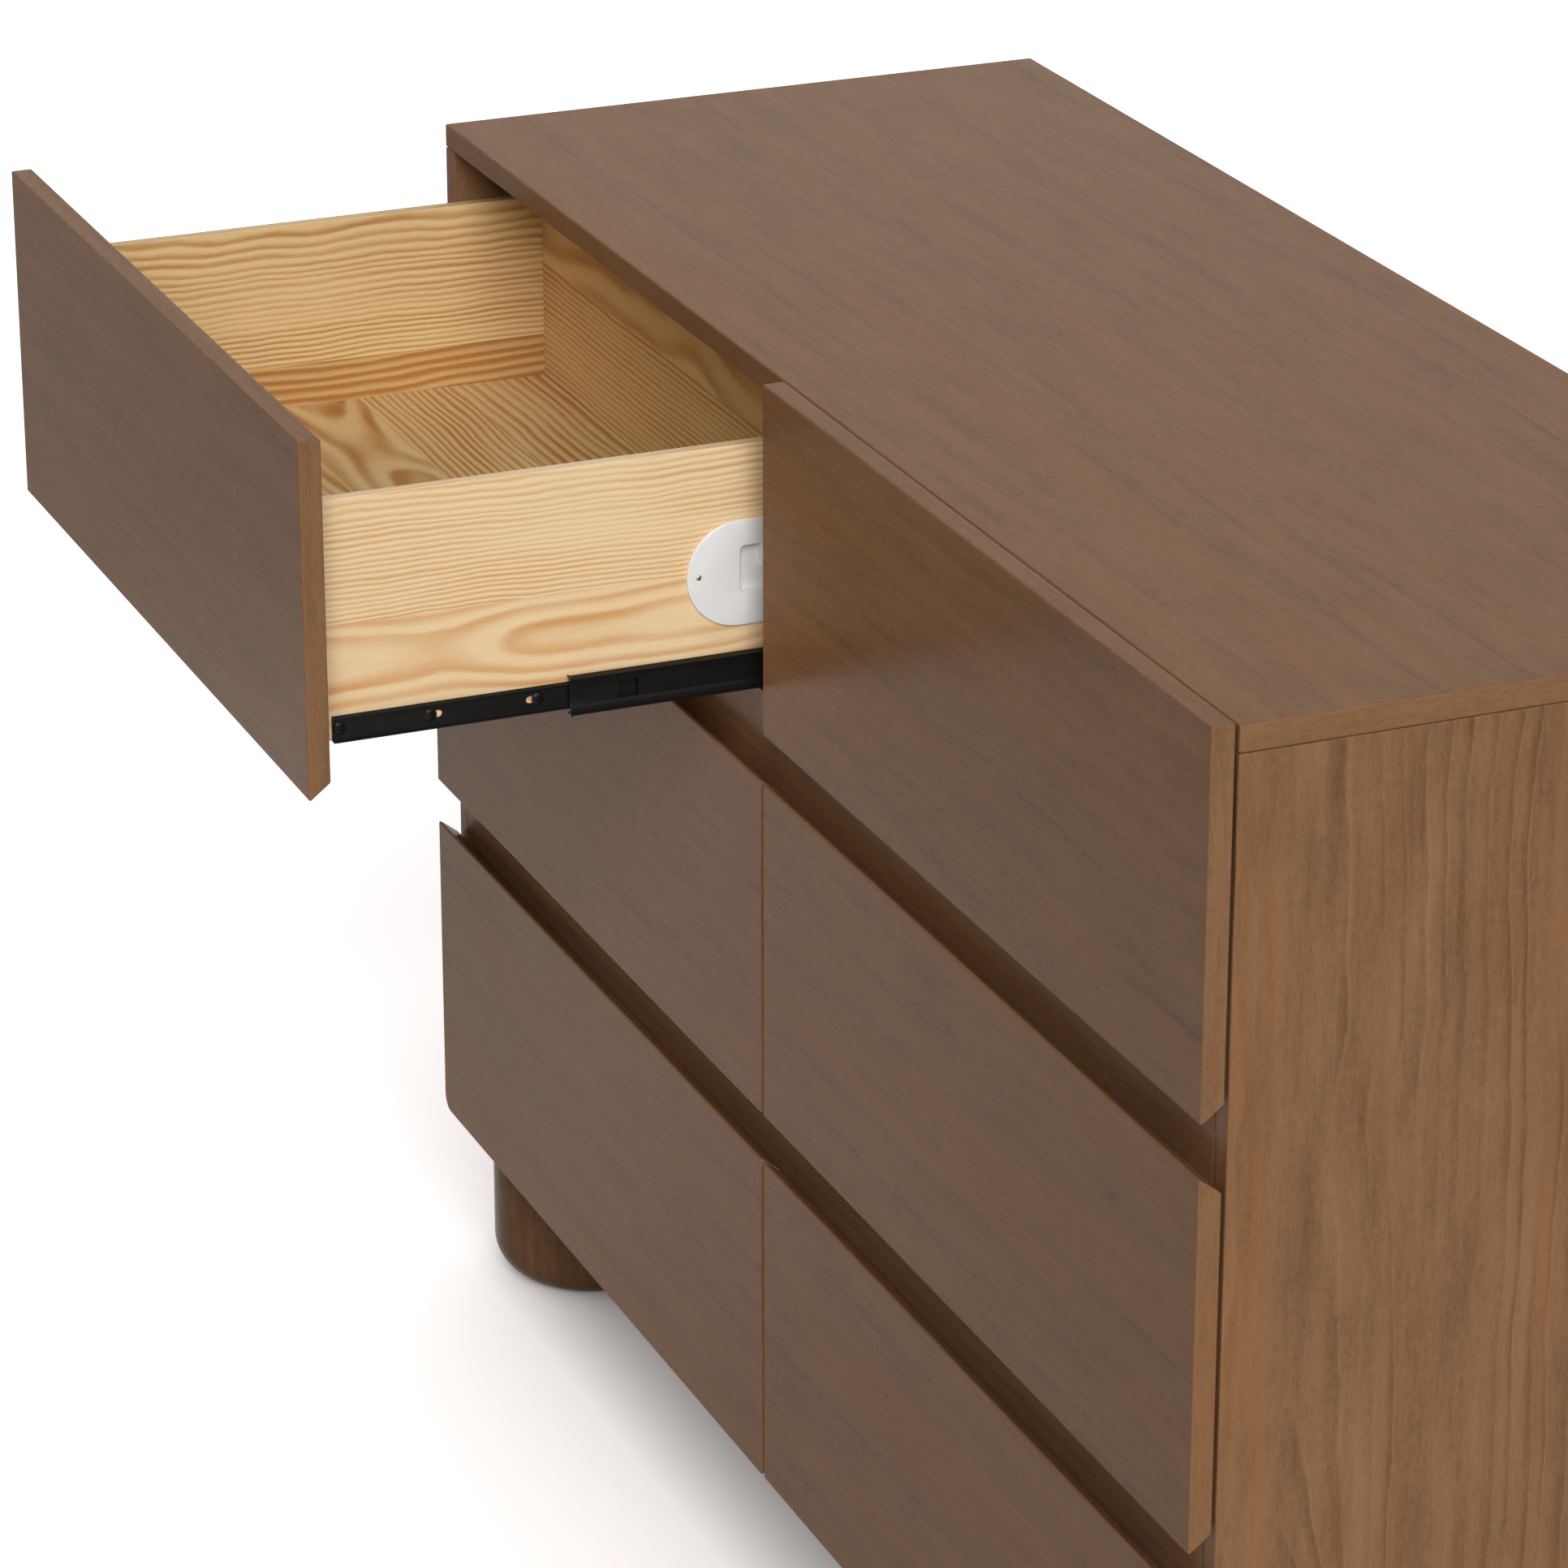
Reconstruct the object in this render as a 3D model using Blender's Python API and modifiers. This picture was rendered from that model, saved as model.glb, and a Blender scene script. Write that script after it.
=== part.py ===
"""Six-drawer double dresser on round legs, with one drawer pulled out.

Metres, +Z up, the drawers open towards -Y. The origin is on the floor, at the centre of the rest pose's
footprint, which takes in the drawer that stands open. Left and right are as seen from the front.
"""
import math

import bmesh
import bpy
from mathutils import Matrix, Vector

# Case
CASE_WIDTH = 1.372
CASE_DEPTH = 0.500
BOARD = 0.018
BASE_BOARD = 0.018
BACK_BOARD = 0.006
BACK_INSET = 0.003
RAIL_HEIGHT = 0.080
FRAME_DEPTH = 0.018
RAIL_UNDER_RUNNER = 0.005
DIVIDER_BOARD = 0.012
STILE_WIDTH = 0.023
REAR_POST_DEPTH = 0.018
CASE_ARRIS = 0.0018
OUTER_CORNER = 0.013

# Drawer fronts
FRONT_HEIGHT = 0.2563
FRONT_THICKNESS = 0.016
ROW_GAP = 0.0355
SEAM = 0.005
FRONT_GAP = 0.0025
FRONT_PROUD = 0.0015
FINGER_SLOPE = 0.0125
FRONT_ARRIS = 0.0015

# Drawer boxes
BOX_TOP_DROP = 0.0555
BOX_HEIGHT = 0.173
BOX_LENGTH = 0.405
BOX_BOARD = 0.010
BOTTOM_DROP = 0.1457
BOTTOM_BOARD = 0.009
BOX_ARRIS = 0.0008

# Ball-bearing runners, each a case, a middle and a drawer member of sheet steel
RUNNER_GAP = 0.0127
RUNNER_DROP = 0.164
RUNNER_INSET = 0.010
SHEET = 0.0012
CASE_MEMBER_LENGTH = 0.400
CASE_MEMBER_HEIGHT = 0.035
CASE_MEMBER_REACH = 0.009
MIDDLE_LENGTH = 0.390
MIDDLE_SETBACK = 0.006
MIDDLE_HEIGHT = 0.027
MIDDLE_WEB = 0.0056
MIDDLE_LIP_BACK = 0.0034
MIDDLE_LIP_FRONT = 0.0110
DRAWER_MEMBER_LENGTH = 0.390
DRAWER_MEMBER_HEIGHT = 0.019
DRAWER_MEMBER_REACH = 0.0051
RACE_WIDTH = 0.0026
RACE_LENGTH = 0.170
RACE_INSET = 0.006
WINDOW_START = 0.036
WINDOW_LENGTH = 0.0145
WINDOW_HEIGHT = 0.013

# Runner screws: places along a member, and how far each slot runs on past its screw
CASE_SCREWS = (0.037, 0.261)
DRAWER_SCREWS = ((0.0051, 0), (0.0706, 0.006), (0.1488, -0.006))
SLOT_WIDTH = 0.0055
SCREW_HEAD = 0.009
SCREW_CROWN = 0.007
SCREW_HEAD_HEIGHT = 0.0014
SCREW_SHANK = 0.0036
SCREW_LENGTH = 0.0095

# Interlock plate on the open drawer's side, with a cup sunk behind its window and a cam left in the cup
PLATE_REAR_INSET = 0.0151
PLATE_LENGTH = 0.118
PLATE_HEIGHT = 0.077
PLATE_DROP = 0.0931
PLATE_THICKNESS = 0.002
CUP_START = 0.0395
CUP_LENGTH = 0.039
CUP_HEIGHT = 0.034
CUP_RISE = 0.0028
CUP_DEPTH = 0.007
CUP_WALL = 0.0015
CAM_START = 0.016
CAM_SLOPE = 0.010
PLATE_SCREW_INSET = 0.009
PLATE_SCREW_HOLE = 0.0048
PLATE_PILOT = 0.0024
PLATE_PILOT_DEPTH = 0.007

# Legs
LEG_RADIUS = 0.080
LEG_INSET = 0.013
LEG_FILLET = 0.032
LEG_ARRIS = 0.001
STUD = 0.008
STUD_HEIGHT = 0.013
FLOOR_TO_CASE = 0.117

# Clearance between pieces that touch, how deep a joined piece bites, and the rest pose
SEAT = 0.0003
BITE = 0.0002
OPEN_DRAWER = ("top", "left")
OPEN_BY = 0.329

# Facets
LEG_STEPS = 36
LEG_FILLET_STEPS = 5
PLATE_END_STEPS = 10
SCREW_STEPS = 8
HOLE_STEPS = 6
ARRIS_STEPS = 2
CORNER_STEPS = 4
SHARP_ANGLE = math.radians(35)
FLAT_ANGLE = math.radians(0.1)
MERGE = 0.00001

ROWS = ("bottom", "middle", "top")
COLUMNS = {"left": -1, "right": 1}

# Places that follow from the sizes above
TOTAL_DEPTH = FRONT_THICKNESS + FRONT_GAP + CASE_DEPTH
FACE_Y = (OPEN_BY - TOTAL_DEPTH) / 2
CASE_FRONT_Y = FACE_Y + FRONT_THICKNESS + FRONT_GAP
CASE_REAR_Y = FACE_Y + TOTAL_DEPTH
BACK_Y = CASE_REAR_Y - BACK_INSET - BACK_BOARD
RUNNER_Y = CASE_FRONT_Y + RUNNER_INSET
ROW_PITCH = FRONT_HEIGHT + ROW_GAP
BASE_TOP_Z = FLOOR_TO_CASE + BASE_BOARD
TOP_Z = FLOOR_TO_CASE + len(ROWS) * ROW_PITCH - ROW_GAP - FRONT_PROUD
UNDER_TOP_Z = TOP_Z - BOARD
SIDE_FACE = CASE_WIDTH / 2 - BOARD
DIVIDER_FACE = STILE_WIDTH / 2 + SEAT + DIVIDER_BOARD
BAY_CENTRE = (SIDE_FACE + DIVIDER_FACE) / 2
BAY_HALF = (SIDE_FACE - DIVIDER_FACE) / 2

# Places on a drawer, whose own origin is under its front's face at the middle of its bay
BOX_HALF = BAY_HALF - RUNNER_GAP
BOX_START = FRONT_THICKNESS + SEAT
BOX_END = BOX_START + BOX_LENGTH
PLATE_START = BOX_END - PLATE_REAR_INSET - PLATE_LENGTH
BOX_TOP = FRONT_HEIGHT - BOX_TOP_DROP
BOX_FOOT = BOX_TOP - BOX_HEIGHT
RUNNER_Z = BOX_TOP - RUNNER_DROP
RUNNER_START = FRONT_THICKNESS + FRONT_GAP + RUNNER_INSET
PLATE_Z = BOX_TOP - PLATE_DROP


def linear(value):
    """One channel of a display colour as the linear value that a shader takes."""
    return value / 12.92 if value <= 0.04045 else ((value + 0.055) / 1.055) ** 2.4


def finish(name, colour, roughness, metallic=0.0):
    material = bpy.data.materials.new(name)
    material.use_nodes = True
    shader = material.node_tree.nodes["Principled BSDF"]
    shader.inputs["Base Color"].default_value = (*(linear(channel) for channel in colour), 1)
    shader.inputs["Roughness"].default_value = roughness
    shader.inputs["Metallic"].default_value = metallic
    material.diffuse_color = (*colour, 1)
    return material


def place(name, mesh, material, location=(0, 0, 0), parent=None, turned_over=False):
    """A part in the parts' collection. A runner member is turned over about Y to face the other way."""
    part = bpy.data.objects.new(name, mesh)
    parts.objects.link(part)
    part.parent = parent
    part.location = location
    part.rotation_euler.y = math.pi if turned_over else 0
    if not mesh.materials:
        mesh.materials.append(material)
    return part


def joint_empty(name, location):
    """What carries a moving body. Its place sets how far the body stands out."""
    carrier = bpy.data.objects.new(name, None)
    parts.objects.link(carrier)
    carrier.location = location
    return carrier


def combine(part, operation, mesh, solver="EXACT"):
    """Cuts a part with a mesh, or joins one to it, the mesh being in the part's own coordinates."""
    operand = bpy.data.objects.new(f"{part.name}_{mesh.name}", mesh)
    cutters.objects.link(operand)
    operand.parent = part
    operand.hide_render = True
    operand.display_type = "WIRE"
    boolean = part.modifiers.new(mesh.name, "BOOLEAN")
    boolean.operation = operation
    boolean.solver = solver
    boolean.object = operand


def round_edges(part, width):
    bevel = part.modifiers.new("arris", "BEVEL")
    bevel.width = width
    bevel.segments = ARRIS_STEPS
    bevel.limit_method = "ANGLE"
    bevel.angle_limit = SHARP_ANGLE


def finished(shape, name):
    """The mesh that a bmesh holds."""
    bmesh.ops.recalc_face_normals(shape, faces=shape.faces)
    mesh = bpy.data.meshes.new(name)
    shape.to_mesh(mesh)
    shape.free()
    return mesh


def add_box(shape, low, high):
    low, high = Vector(low), Vector(high)
    matrix = Matrix.Translation((low + high) / 2) @ Matrix.Diagonal((*(high - low), 1))
    return bmesh.ops.create_cube(shape, size=1, matrix=matrix)["verts"]


def boxes(name, *corners):
    """A mesh of boxes, each between a low and a high corner."""
    shape = bmesh.new()
    for low, high in corners:
        add_box(shape, low, high)
    return finished(shape, name)


def add_bar(shape, centre, diameter, length, steps=HOLE_STEPS, upright=False, reach=0):
    """A bar that cuts a hole of a diameter, which is its width across flats: along X, or along Z if upright.

    With a reach, one half of it is drawn out along Y, and it cuts a slot.
    """
    radius = diameter / 2 / math.cos(math.pi / steps)
    matrix = Matrix.Translation(centre) @ Matrix.Rotation(0 if upright else math.pi / 2, 4, "Y")
    bar = bmesh.ops.create_cone(shape, cap_ends=True, segments=steps, radius1=radius, radius2=radius,
                                depth=length, matrix=matrix)
    for vert in bar["verts"]:
        if (vert.co.y - centre[1]) * reach > MERGE * abs(reach):
            vert.co.y += reach


def add_mesh(shape, mesh, matrix):
    known = set(shape.verts)
    shape.from_mesh(mesh)
    bmesh.ops.transform(shape, matrix=matrix, verts=[vert for vert in shape.verts if vert not in known])


def evaluated(source):
    """The mesh that a curve or a modified object makes. The object itself is removed."""
    bpy.context.scene.collection.objects.link(source)
    graph = bpy.context.evaluated_depsgraph_get()
    mesh = bpy.data.meshes.new_from_object(source.evaluated_get(graph))
    bpy.data.objects.remove(source)
    return mesh


def extruded(name, outline, length):
    """A closed outline in X and Z, carried along +Y for a length."""
    curve = bpy.data.curves.new(name, "CURVE")
    curve.dimensions = "2D"
    curve.fill_mode = "BOTH"
    curve.extrude = length / 2
    spline = curve.splines.new("POLY")
    spline.points.add(len(outline) - 1)
    for point, (x, z) in zip(spline.points, outline):
        point.co = (x, z, 0, 1)
    spline.use_cyclic_u = True
    shape = bmesh.new()
    shape.from_mesh(evaluated(bpy.data.objects.new(name, curve)))
    bmesh.ops.remove_doubles(shape, verts=shape.verts, dist=MERGE)
    bmesh.ops.dissolve_limit(shape, angle_limit=FLAT_ANGLE, verts=shape.verts, edges=shape.edges)
    upright = Matrix.Translation((0, length / 2, 0)) @ Matrix.Rotation(math.pi / 2, 4, "X")
    bmesh.ops.transform(shape, matrix=upright, verts=shape.verts)
    return finished(shape, name)


def turned(name, profile, steps):
    """A profile of radius and height turned about Z, from its top on the axis to its foot on the axis."""
    mesh = bpy.data.meshes.new(name)
    mesh.from_pydata([(radius, 0, height) for radius, height in profile],
                     [(i, i + 1) for i in range(len(profile) - 1)], [])
    source = bpy.data.objects.new(name, mesh)
    screw = source.modifiers.new("turn", "SCREW")
    screw.steps = screw.render_steps = steps
    screw.use_merge_vertices = True
    screw.merge_threshold = MERGE
    shape = bmesh.new()
    shape.from_mesh(evaluated(source))
    return finished(shape, name)


def row_z(row):
    """Z of the lower edge of a row's drawer fronts."""
    return FLOOR_TO_CASE + row * ROW_PITCH


def rail_span(row):
    """Lowest and highest Z of the rails under a row."""
    high = row_z(row) + RUNNER_Z - CASE_MEMBER_HEIGHT / 2 - RAIL_UNDER_RUNNER
    return high - RAIL_HEIGHT, high


def case_pilot_holes(name, face_x):
    """Holes for the screws of the three case members on the face at face_x."""
    shape = bmesh.new()
    for row in range(len(ROWS)):
        for along in CASE_SCREWS:
            add_bar(shape, (face_x, RUNNER_Y + along, row_z(row) + RUNNER_Z), SCREW_SHANK + 2 * SEAT,
                    2 * SCREW_LENGTH - 2 * SHEET)
    return finished(shape, name)


def make_top():
    half = CASE_WIDTH / 2
    top = place("top_panel", boxes("top_panel", ((-half, CASE_FRONT_Y, UNDER_TOP_Z),
                                                 (half, CASE_REAR_Y, TOP_Z))), walnut_top)
    round_edges(top, CASE_ARRIS)


def make_side(column, side):
    """A side panel, its lower outer edge rounded like the corner of the bottom drawer's front."""
    xs = sorted((side * SIDE_FACE, side * CASE_WIDTH / 2))
    shape = bmesh.new()
    add_box(shape, (xs[0], CASE_FRONT_Y, FLOOR_TO_CASE), (xs[1], CASE_REAR_Y, UNDER_TOP_Z - SEAT))
    lower_outer = [edge for edge in shape.edges
                   if all(abs(vert.co.x) > SIDE_FACE + MERGE and vert.co.z < BASE_TOP_Z
                          for vert in edge.verts)]
    bmesh.ops.bevel(shape, geom=lower_outer, offset=OUTER_CORNER, segments=CORNER_STEPS, profile=0.5,
                    affect="EDGES")
    name = column + "_side_panel"
    panel = place(name, finished(shape, name), walnut_side)
    round_edges(panel, CASE_ARRIS)
    combine(panel, "DIFFERENCE", case_pilot_holes("pilot_holes", side * SIDE_FACE))


def make_base():
    """The base between the sides, bored from below for the legs' studs."""
    half = SIDE_FACE - SEAT
    base = place("base_panel", boxes("base_panel", ((-half, CASE_FRONT_Y, FLOOR_TO_CASE),
                                                    (half, CASE_REAR_Y, BASE_TOP_Z))), walnut_side)
    shape = bmesh.new()
    for x, y in leg_places().values():
        add_bar(shape, (x, y, FLOOR_TO_CASE), STUD + 2 * SEAT, 2 * STUD_HEIGHT, SCREW_STEPS, upright=True)
    combine(base, "DIFFERENCE", finished(shape, "stud_holes"))


def make_back():
    half = SIDE_FACE - SEAT
    place("back_panel", boxes("back_panel", ((-half, BACK_Y, BASE_TOP_Z + SEAT),
                                             (half, BACK_Y + BACK_BOARD, UNDER_TOP_Z - SEAT))), walnut_back)


def make_divider():
    """A hollow divider: two boards on a rear post, notched at the front for the rails."""
    low, high = BASE_TOP_Z + SEAT, UNDER_TOP_Z - SEAT
    rear = BACK_Y - SEAT
    hollow = DIVIDER_FACE - DIVIDER_BOARD
    divider = place("divider", boxes("divider", ((-DIVIDER_FACE, CASE_FRONT_Y, low),
                                                 (DIVIDER_FACE, rear, high))), walnut_side)
    combine(divider, "DIFFERENCE", boxes("hollow", ((-hollow, CASE_FRONT_Y - BOARD, low - BOARD),
                                                    (hollow, rear - REAR_POST_DEPTH, high + BOARD))))
    notches = []
    for row in range(1, len(ROWS)):
        rail_low, rail_high = rail_span(row)
        notches.append(((-CASE_WIDTH / 2, CASE_FRONT_Y - BOARD, rail_low - SEAT),
                        (CASE_WIDTH / 2, CASE_FRONT_Y + FRAME_DEPTH + SEAT, rail_high + SEAT)))
    combine(divider, "DIFFERENCE", boxes("rail_notches", *notches))
    for column, side in COLUMNS.items():
        combine(divider, "DIFFERENCE", case_pilot_holes(column + "_pilot_holes", side * DIVIDER_FACE))


def make_front_frame():
    """A stile between the divider's boards, and two rails to each side of it, in one glued frame."""
    stile, end = STILE_WIDTH / 2, SIDE_FACE - SEAT
    right = [(stile, BASE_TOP_Z + SEAT)]
    for row in range(1, len(ROWS)):
        rail_low, rail_high = rail_span(row)
        right += [(stile, rail_low), (end, rail_low), (end, rail_high), (stile, rail_high)]
    right.append((stile, UNDER_TOP_Z - SEAT))
    left = [(-x, z) for x, z in reversed(right)]
    place("front_frame", extruded("front_frame", right + left, FRAME_DEPTH), walnut_side,
          (0, CASE_FRONT_Y, 0))


def leg_places():
    """Centre of each leg on the floor, by name."""
    x = CASE_WIDTH / 2 - LEG_INSET - LEG_RADIUS
    ys = {"front": FACE_Y + LEG_INSET + LEG_RADIUS, "rear": CASE_REAR_Y - LEG_INSET - LEG_RADIUS}
    return {f"{end}_{column}_leg": (side * x, y) for end, y in ys.items() for column, side in COLUMNS.items()}


def make_legs():
    """Round legs with a wide rounded foot, each with a stud that stands in the base."""
    top = FLOOR_TO_CASE - SEAT
    foot = []
    for i in range(LEG_FILLET_STEPS + 1):
        turn = i * math.pi / 2 / LEG_FILLET_STEPS
        foot.append((LEG_RADIUS - LEG_FILLET + LEG_FILLET * math.cos(turn),
                     LEG_FILLET - LEG_FILLET * math.sin(turn)))
    profile = [(0, top + STUD_HEIGHT), (STUD / 2, top + STUD_HEIGHT), (STUD / 2, top),
               (LEG_RADIUS - LEG_ARRIS, top), (LEG_RADIUS, top - LEG_ARRIS), *foot, (0, 0)]
    leg = turned("leg", profile, LEG_STEPS)
    leg.shade_smooth()
    leg.set_sharp_from_angle(angle=SHARP_ANGLE)
    for name, (x, y) in leg_places().items():
        place(name, leg, walnut_leg, (x, y, 0))


def channel(name, height, reach, length):
    """A channel with its web against a wall at X = 0 and its lips out to X = reach."""
    outer = height / 2
    inner = outer - SHEET
    outline = [(SEAT, -outer), (reach, -outer), (reach, -inner), (SEAT + SHEET, -inner),
               (SEAT + SHEET, inner), (reach, inner), (reach, outer), (SEAT, outer)]
    return extruded(name, outline, length)


def screws_mesh(name, places):
    """Pan-head screws through a web, their heads biting into its outer face."""
    shank = SCREW_SHANK / 2
    profile = [(0, SCREW_HEAD_HEIGHT), (SCREW_CROWN / 2, SCREW_HEAD_HEIGHT), (SCREW_HEAD / 2, -BITE),
               (shank, -BITE), (shank, -SCREW_LENGTH), (0, -SCREW_LENGTH)]
    screw = turned("screw", profile, SCREW_STEPS)
    level = Matrix.Rotation(math.pi / 2, 4, "Y")
    shape = bmesh.new()
    for along in places:
        add_mesh(shape, screw, Matrix.Translation((SEAT + SHEET, along, 0)) @ level)
    return finished(shape, name)


def slots_mesh():
    """Slots in the drawer member, each of which runs on past its screw."""
    shape = bmesh.new()
    for along, reach in DRAWER_SCREWS:
        if reach:
            add_bar(shape, (SEAT, along, 0), SLOT_WIDTH, 4 * SHEET, SCREW_STEPS, reach=reach)
    return finished(shape, "slots")


def middle_member():
    """The middle member, X being the distance off the case's wall: a web with lips both ways."""
    outer = MIDDLE_HEIGHT / 2
    inner = outer - SHEET
    back, front = MIDDLE_LIP_BACK, MIDDLE_LIP_FRONT
    web_back, web_front = MIDDLE_WEB, MIDDLE_WEB + SHEET
    lower = [(back, -inner), (back, -outer), (front, -outer), (front, -inner), (web_front, -inner)]
    upper = [(web_front, inner), (front, inner), (front, outer), (back, outer), (back, inner),
             (web_back, inner)]
    return extruded("middle_member", [(web_back, -inner), *lower, *upper], MIDDLE_LENGTH)


def races_mesh():
    """The ball rows: in front between the middle and drawer members, behind between the middle and case ones.

    Each row then stays between its two members over the whole travel.
    """
    middle_outer = MIDDLE_HEIGHT / 2
    drawer_race = (DRAWER_MEMBER_HEIGHT / 2 + SEAT, middle_outer - SHEET + BITE)
    case_race = (middle_outer - BITE, CASE_MEMBER_HEIGHT / 2 - SHEET - SEAT)
    drawer_x = RUNNER_GAP - DRAWER_MEMBER_REACH + SEAT
    case_x = MIDDLE_LIP_BACK + SEAT
    rows = []
    for (low, high), x, y in ((drawer_race, drawer_x, RACE_INSET),
                              (case_race, case_x, MIDDLE_LENGTH - RACE_INSET - RACE_LENGTH)):
        rows.append(((x, y, low), (x + RACE_WIDTH, y + RACE_LENGTH, high)))
        rows.append(((x, y, -high), (x + RACE_WIDTH, y + RACE_LENGTH, -low)))
    return boxes("ball_rows", *rows)


def window_mesh():
    return boxes("window", ((MIDDLE_WEB - SHEET, WINDOW_START, -WINDOW_HEIGHT / 2),
                            (MIDDLE_WEB + 2 * SHEET, WINDOW_START + WINDOW_LENGTH, WINDOW_HEIGHT / 2)))


def front_mesh(name, sloped_top, rounded_side):
    """A drawer front. Its lower edge, and below the top row its upper edge, slopes away behind the face."""
    half = (CASE_WIDTH - SEAM) / 4
    shape = bmesh.new()
    for vert in add_box(shape, (-half, 0, 0), (half, FRONT_THICKNESS, FRONT_HEIGHT)):
        if vert.co.y > FRONT_THICKNESS / 2:
            if vert.co.z < FRONT_HEIGHT / 2:
                vert.co.z += FINGER_SLOPE
            elif sloped_top:
                vert.co.z -= FINGER_SLOPE
    if rounded_side:
        corner = [edge for edge in shape.edges
                  if all(vert.co.x * rounded_side > 0 and vert.co.z < FRONT_HEIGHT / 2
                         for vert in edge.verts)]
        bmesh.ops.bevel(shape, geom=corner, offset=OUTER_CORNER, segments=CORNER_STEPS, profile=0.5,
                        affect="EDGES")
    return finished(shape, name)


def box_space(name, low_z, high_z):
    """The space inside a drawer box's four boards, from one height to another."""
    inside = BOX_HALF - BOX_BOARD
    return boxes(name, ((-inside, BOX_START + BOX_BOARD, low_z), (inside, BOX_END - BOX_BOARD, high_z)))


def box_pilot_holes():
    shape = bmesh.new()
    for side in COLUMNS.values():
        for along, _ in DRAWER_SCREWS:
            add_bar(shape, (side * BOX_HALF, RUNNER_START + along, RUNNER_Z), SCREW_SHANK + 2 * SEAT,
                    2 * SCREW_LENGTH - 2 * SHEET)
    return finished(shape, "pilot_holes")


def plate_screws():
    """Y and Z of the plate's two screws on its drawer."""
    return [(PLATE_START + inset, PLATE_Z) for inset in (PLATE_SCREW_INSET, PLATE_LENGTH - PLATE_SCREW_INSET)]


def cup_corners(low_x, high_x, margin):
    """Corners of a box round the plate's cup, from one X to another and a margin wider all round."""
    y = PLATE_START + CUP_START
    z = PLATE_Z + CUP_RISE
    half = CUP_HEIGHT / 2 + margin
    return (low_x, y - margin, z - half), (high_x, y + CUP_LENGTH + margin, z + half)


def plate_seat_mesh():
    """What the plate needs cut in the drawer's side: a pocket for its cup and two pilot holes."""
    shape = bmesh.new()
    add_box(shape, *cup_corners(BOX_HALF - CUP_DEPTH + PLATE_THICKNESS - CUP_WALL, BOX_HALF + SHEET,
                                CUP_WALL + SEAT))
    for y, z in plate_screws():
        add_bar(shape, (BOX_HALF, y, z), PLATE_PILOT, 2 * PLATE_PILOT_DEPTH)
    return finished(shape, "plate_seat")


def plate_mesh():
    """The plate's flange on the drawer's right side, with round ends."""
    radius = PLATE_HEIGHT / 2
    outline = []
    for centre, first in ((PLATE_LENGTH - radius, -math.pi / 2), (radius, math.pi / 2)):
        for i in range(PLATE_END_STEPS + 1):
            turn = first + i * math.pi / PLATE_END_STEPS
            outline.append((PLATE_START + centre + radius * math.cos(turn),
                            PLATE_Z + radius * math.sin(turn)))
    shape = bmesh.new()
    outside = Matrix.Translation((BOX_HALF + SEAT + PLATE_THICKNESS, 0, 0))
    add_mesh(shape, extruded("flange", outline, PLATE_THICKNESS),
             outside @ Matrix.Rotation(math.pi / 2, 4, "Z"))
    return finished(shape, "interlock_plate")


def cup_mesh():
    outside = BOX_HALF + SEAT + PLATE_THICKNESS
    return boxes("cup", cup_corners(outside - CUP_DEPTH - CUP_WALL, outside - BITE, CUP_WALL))


def cup_hollow_mesh():
    """The hollow of the plate's cup, less a cam in its upper rear part whose lower side slopes."""
    outside = BOX_HALF + SEAT + PLATE_THICKNESS
    low, high = cup_corners(0, 0, 0)
    cam_y = low[1] + CAM_START
    cam_z = (low[2] + high[2]) / 2
    outline = [(low[1], low[2]), (high[1], low[2]), (high[1], cam_z - CAM_SLOPE),
               (cam_y + CAM_SLOPE, cam_z - CAM_SLOPE), (cam_y, cam_z), (cam_y, high[2]), (low[1], high[2])]
    shape = bmesh.new()
    outwards = Matrix.Translation((outside + CUP_WALL, 0, 0)) @ Matrix.Rotation(math.pi / 2, 4, "Z")
    add_mesh(shape, extruded("hollow", outline, CUP_DEPTH + CUP_WALL), outwards)
    for y, z in plate_screws():
        add_bar(shape, (outside, y, z), PLATE_SCREW_HOLE, 4 * PLATE_THICKNESS, SCREW_STEPS)
    return finished(shape, "cup_hollow")


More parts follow.
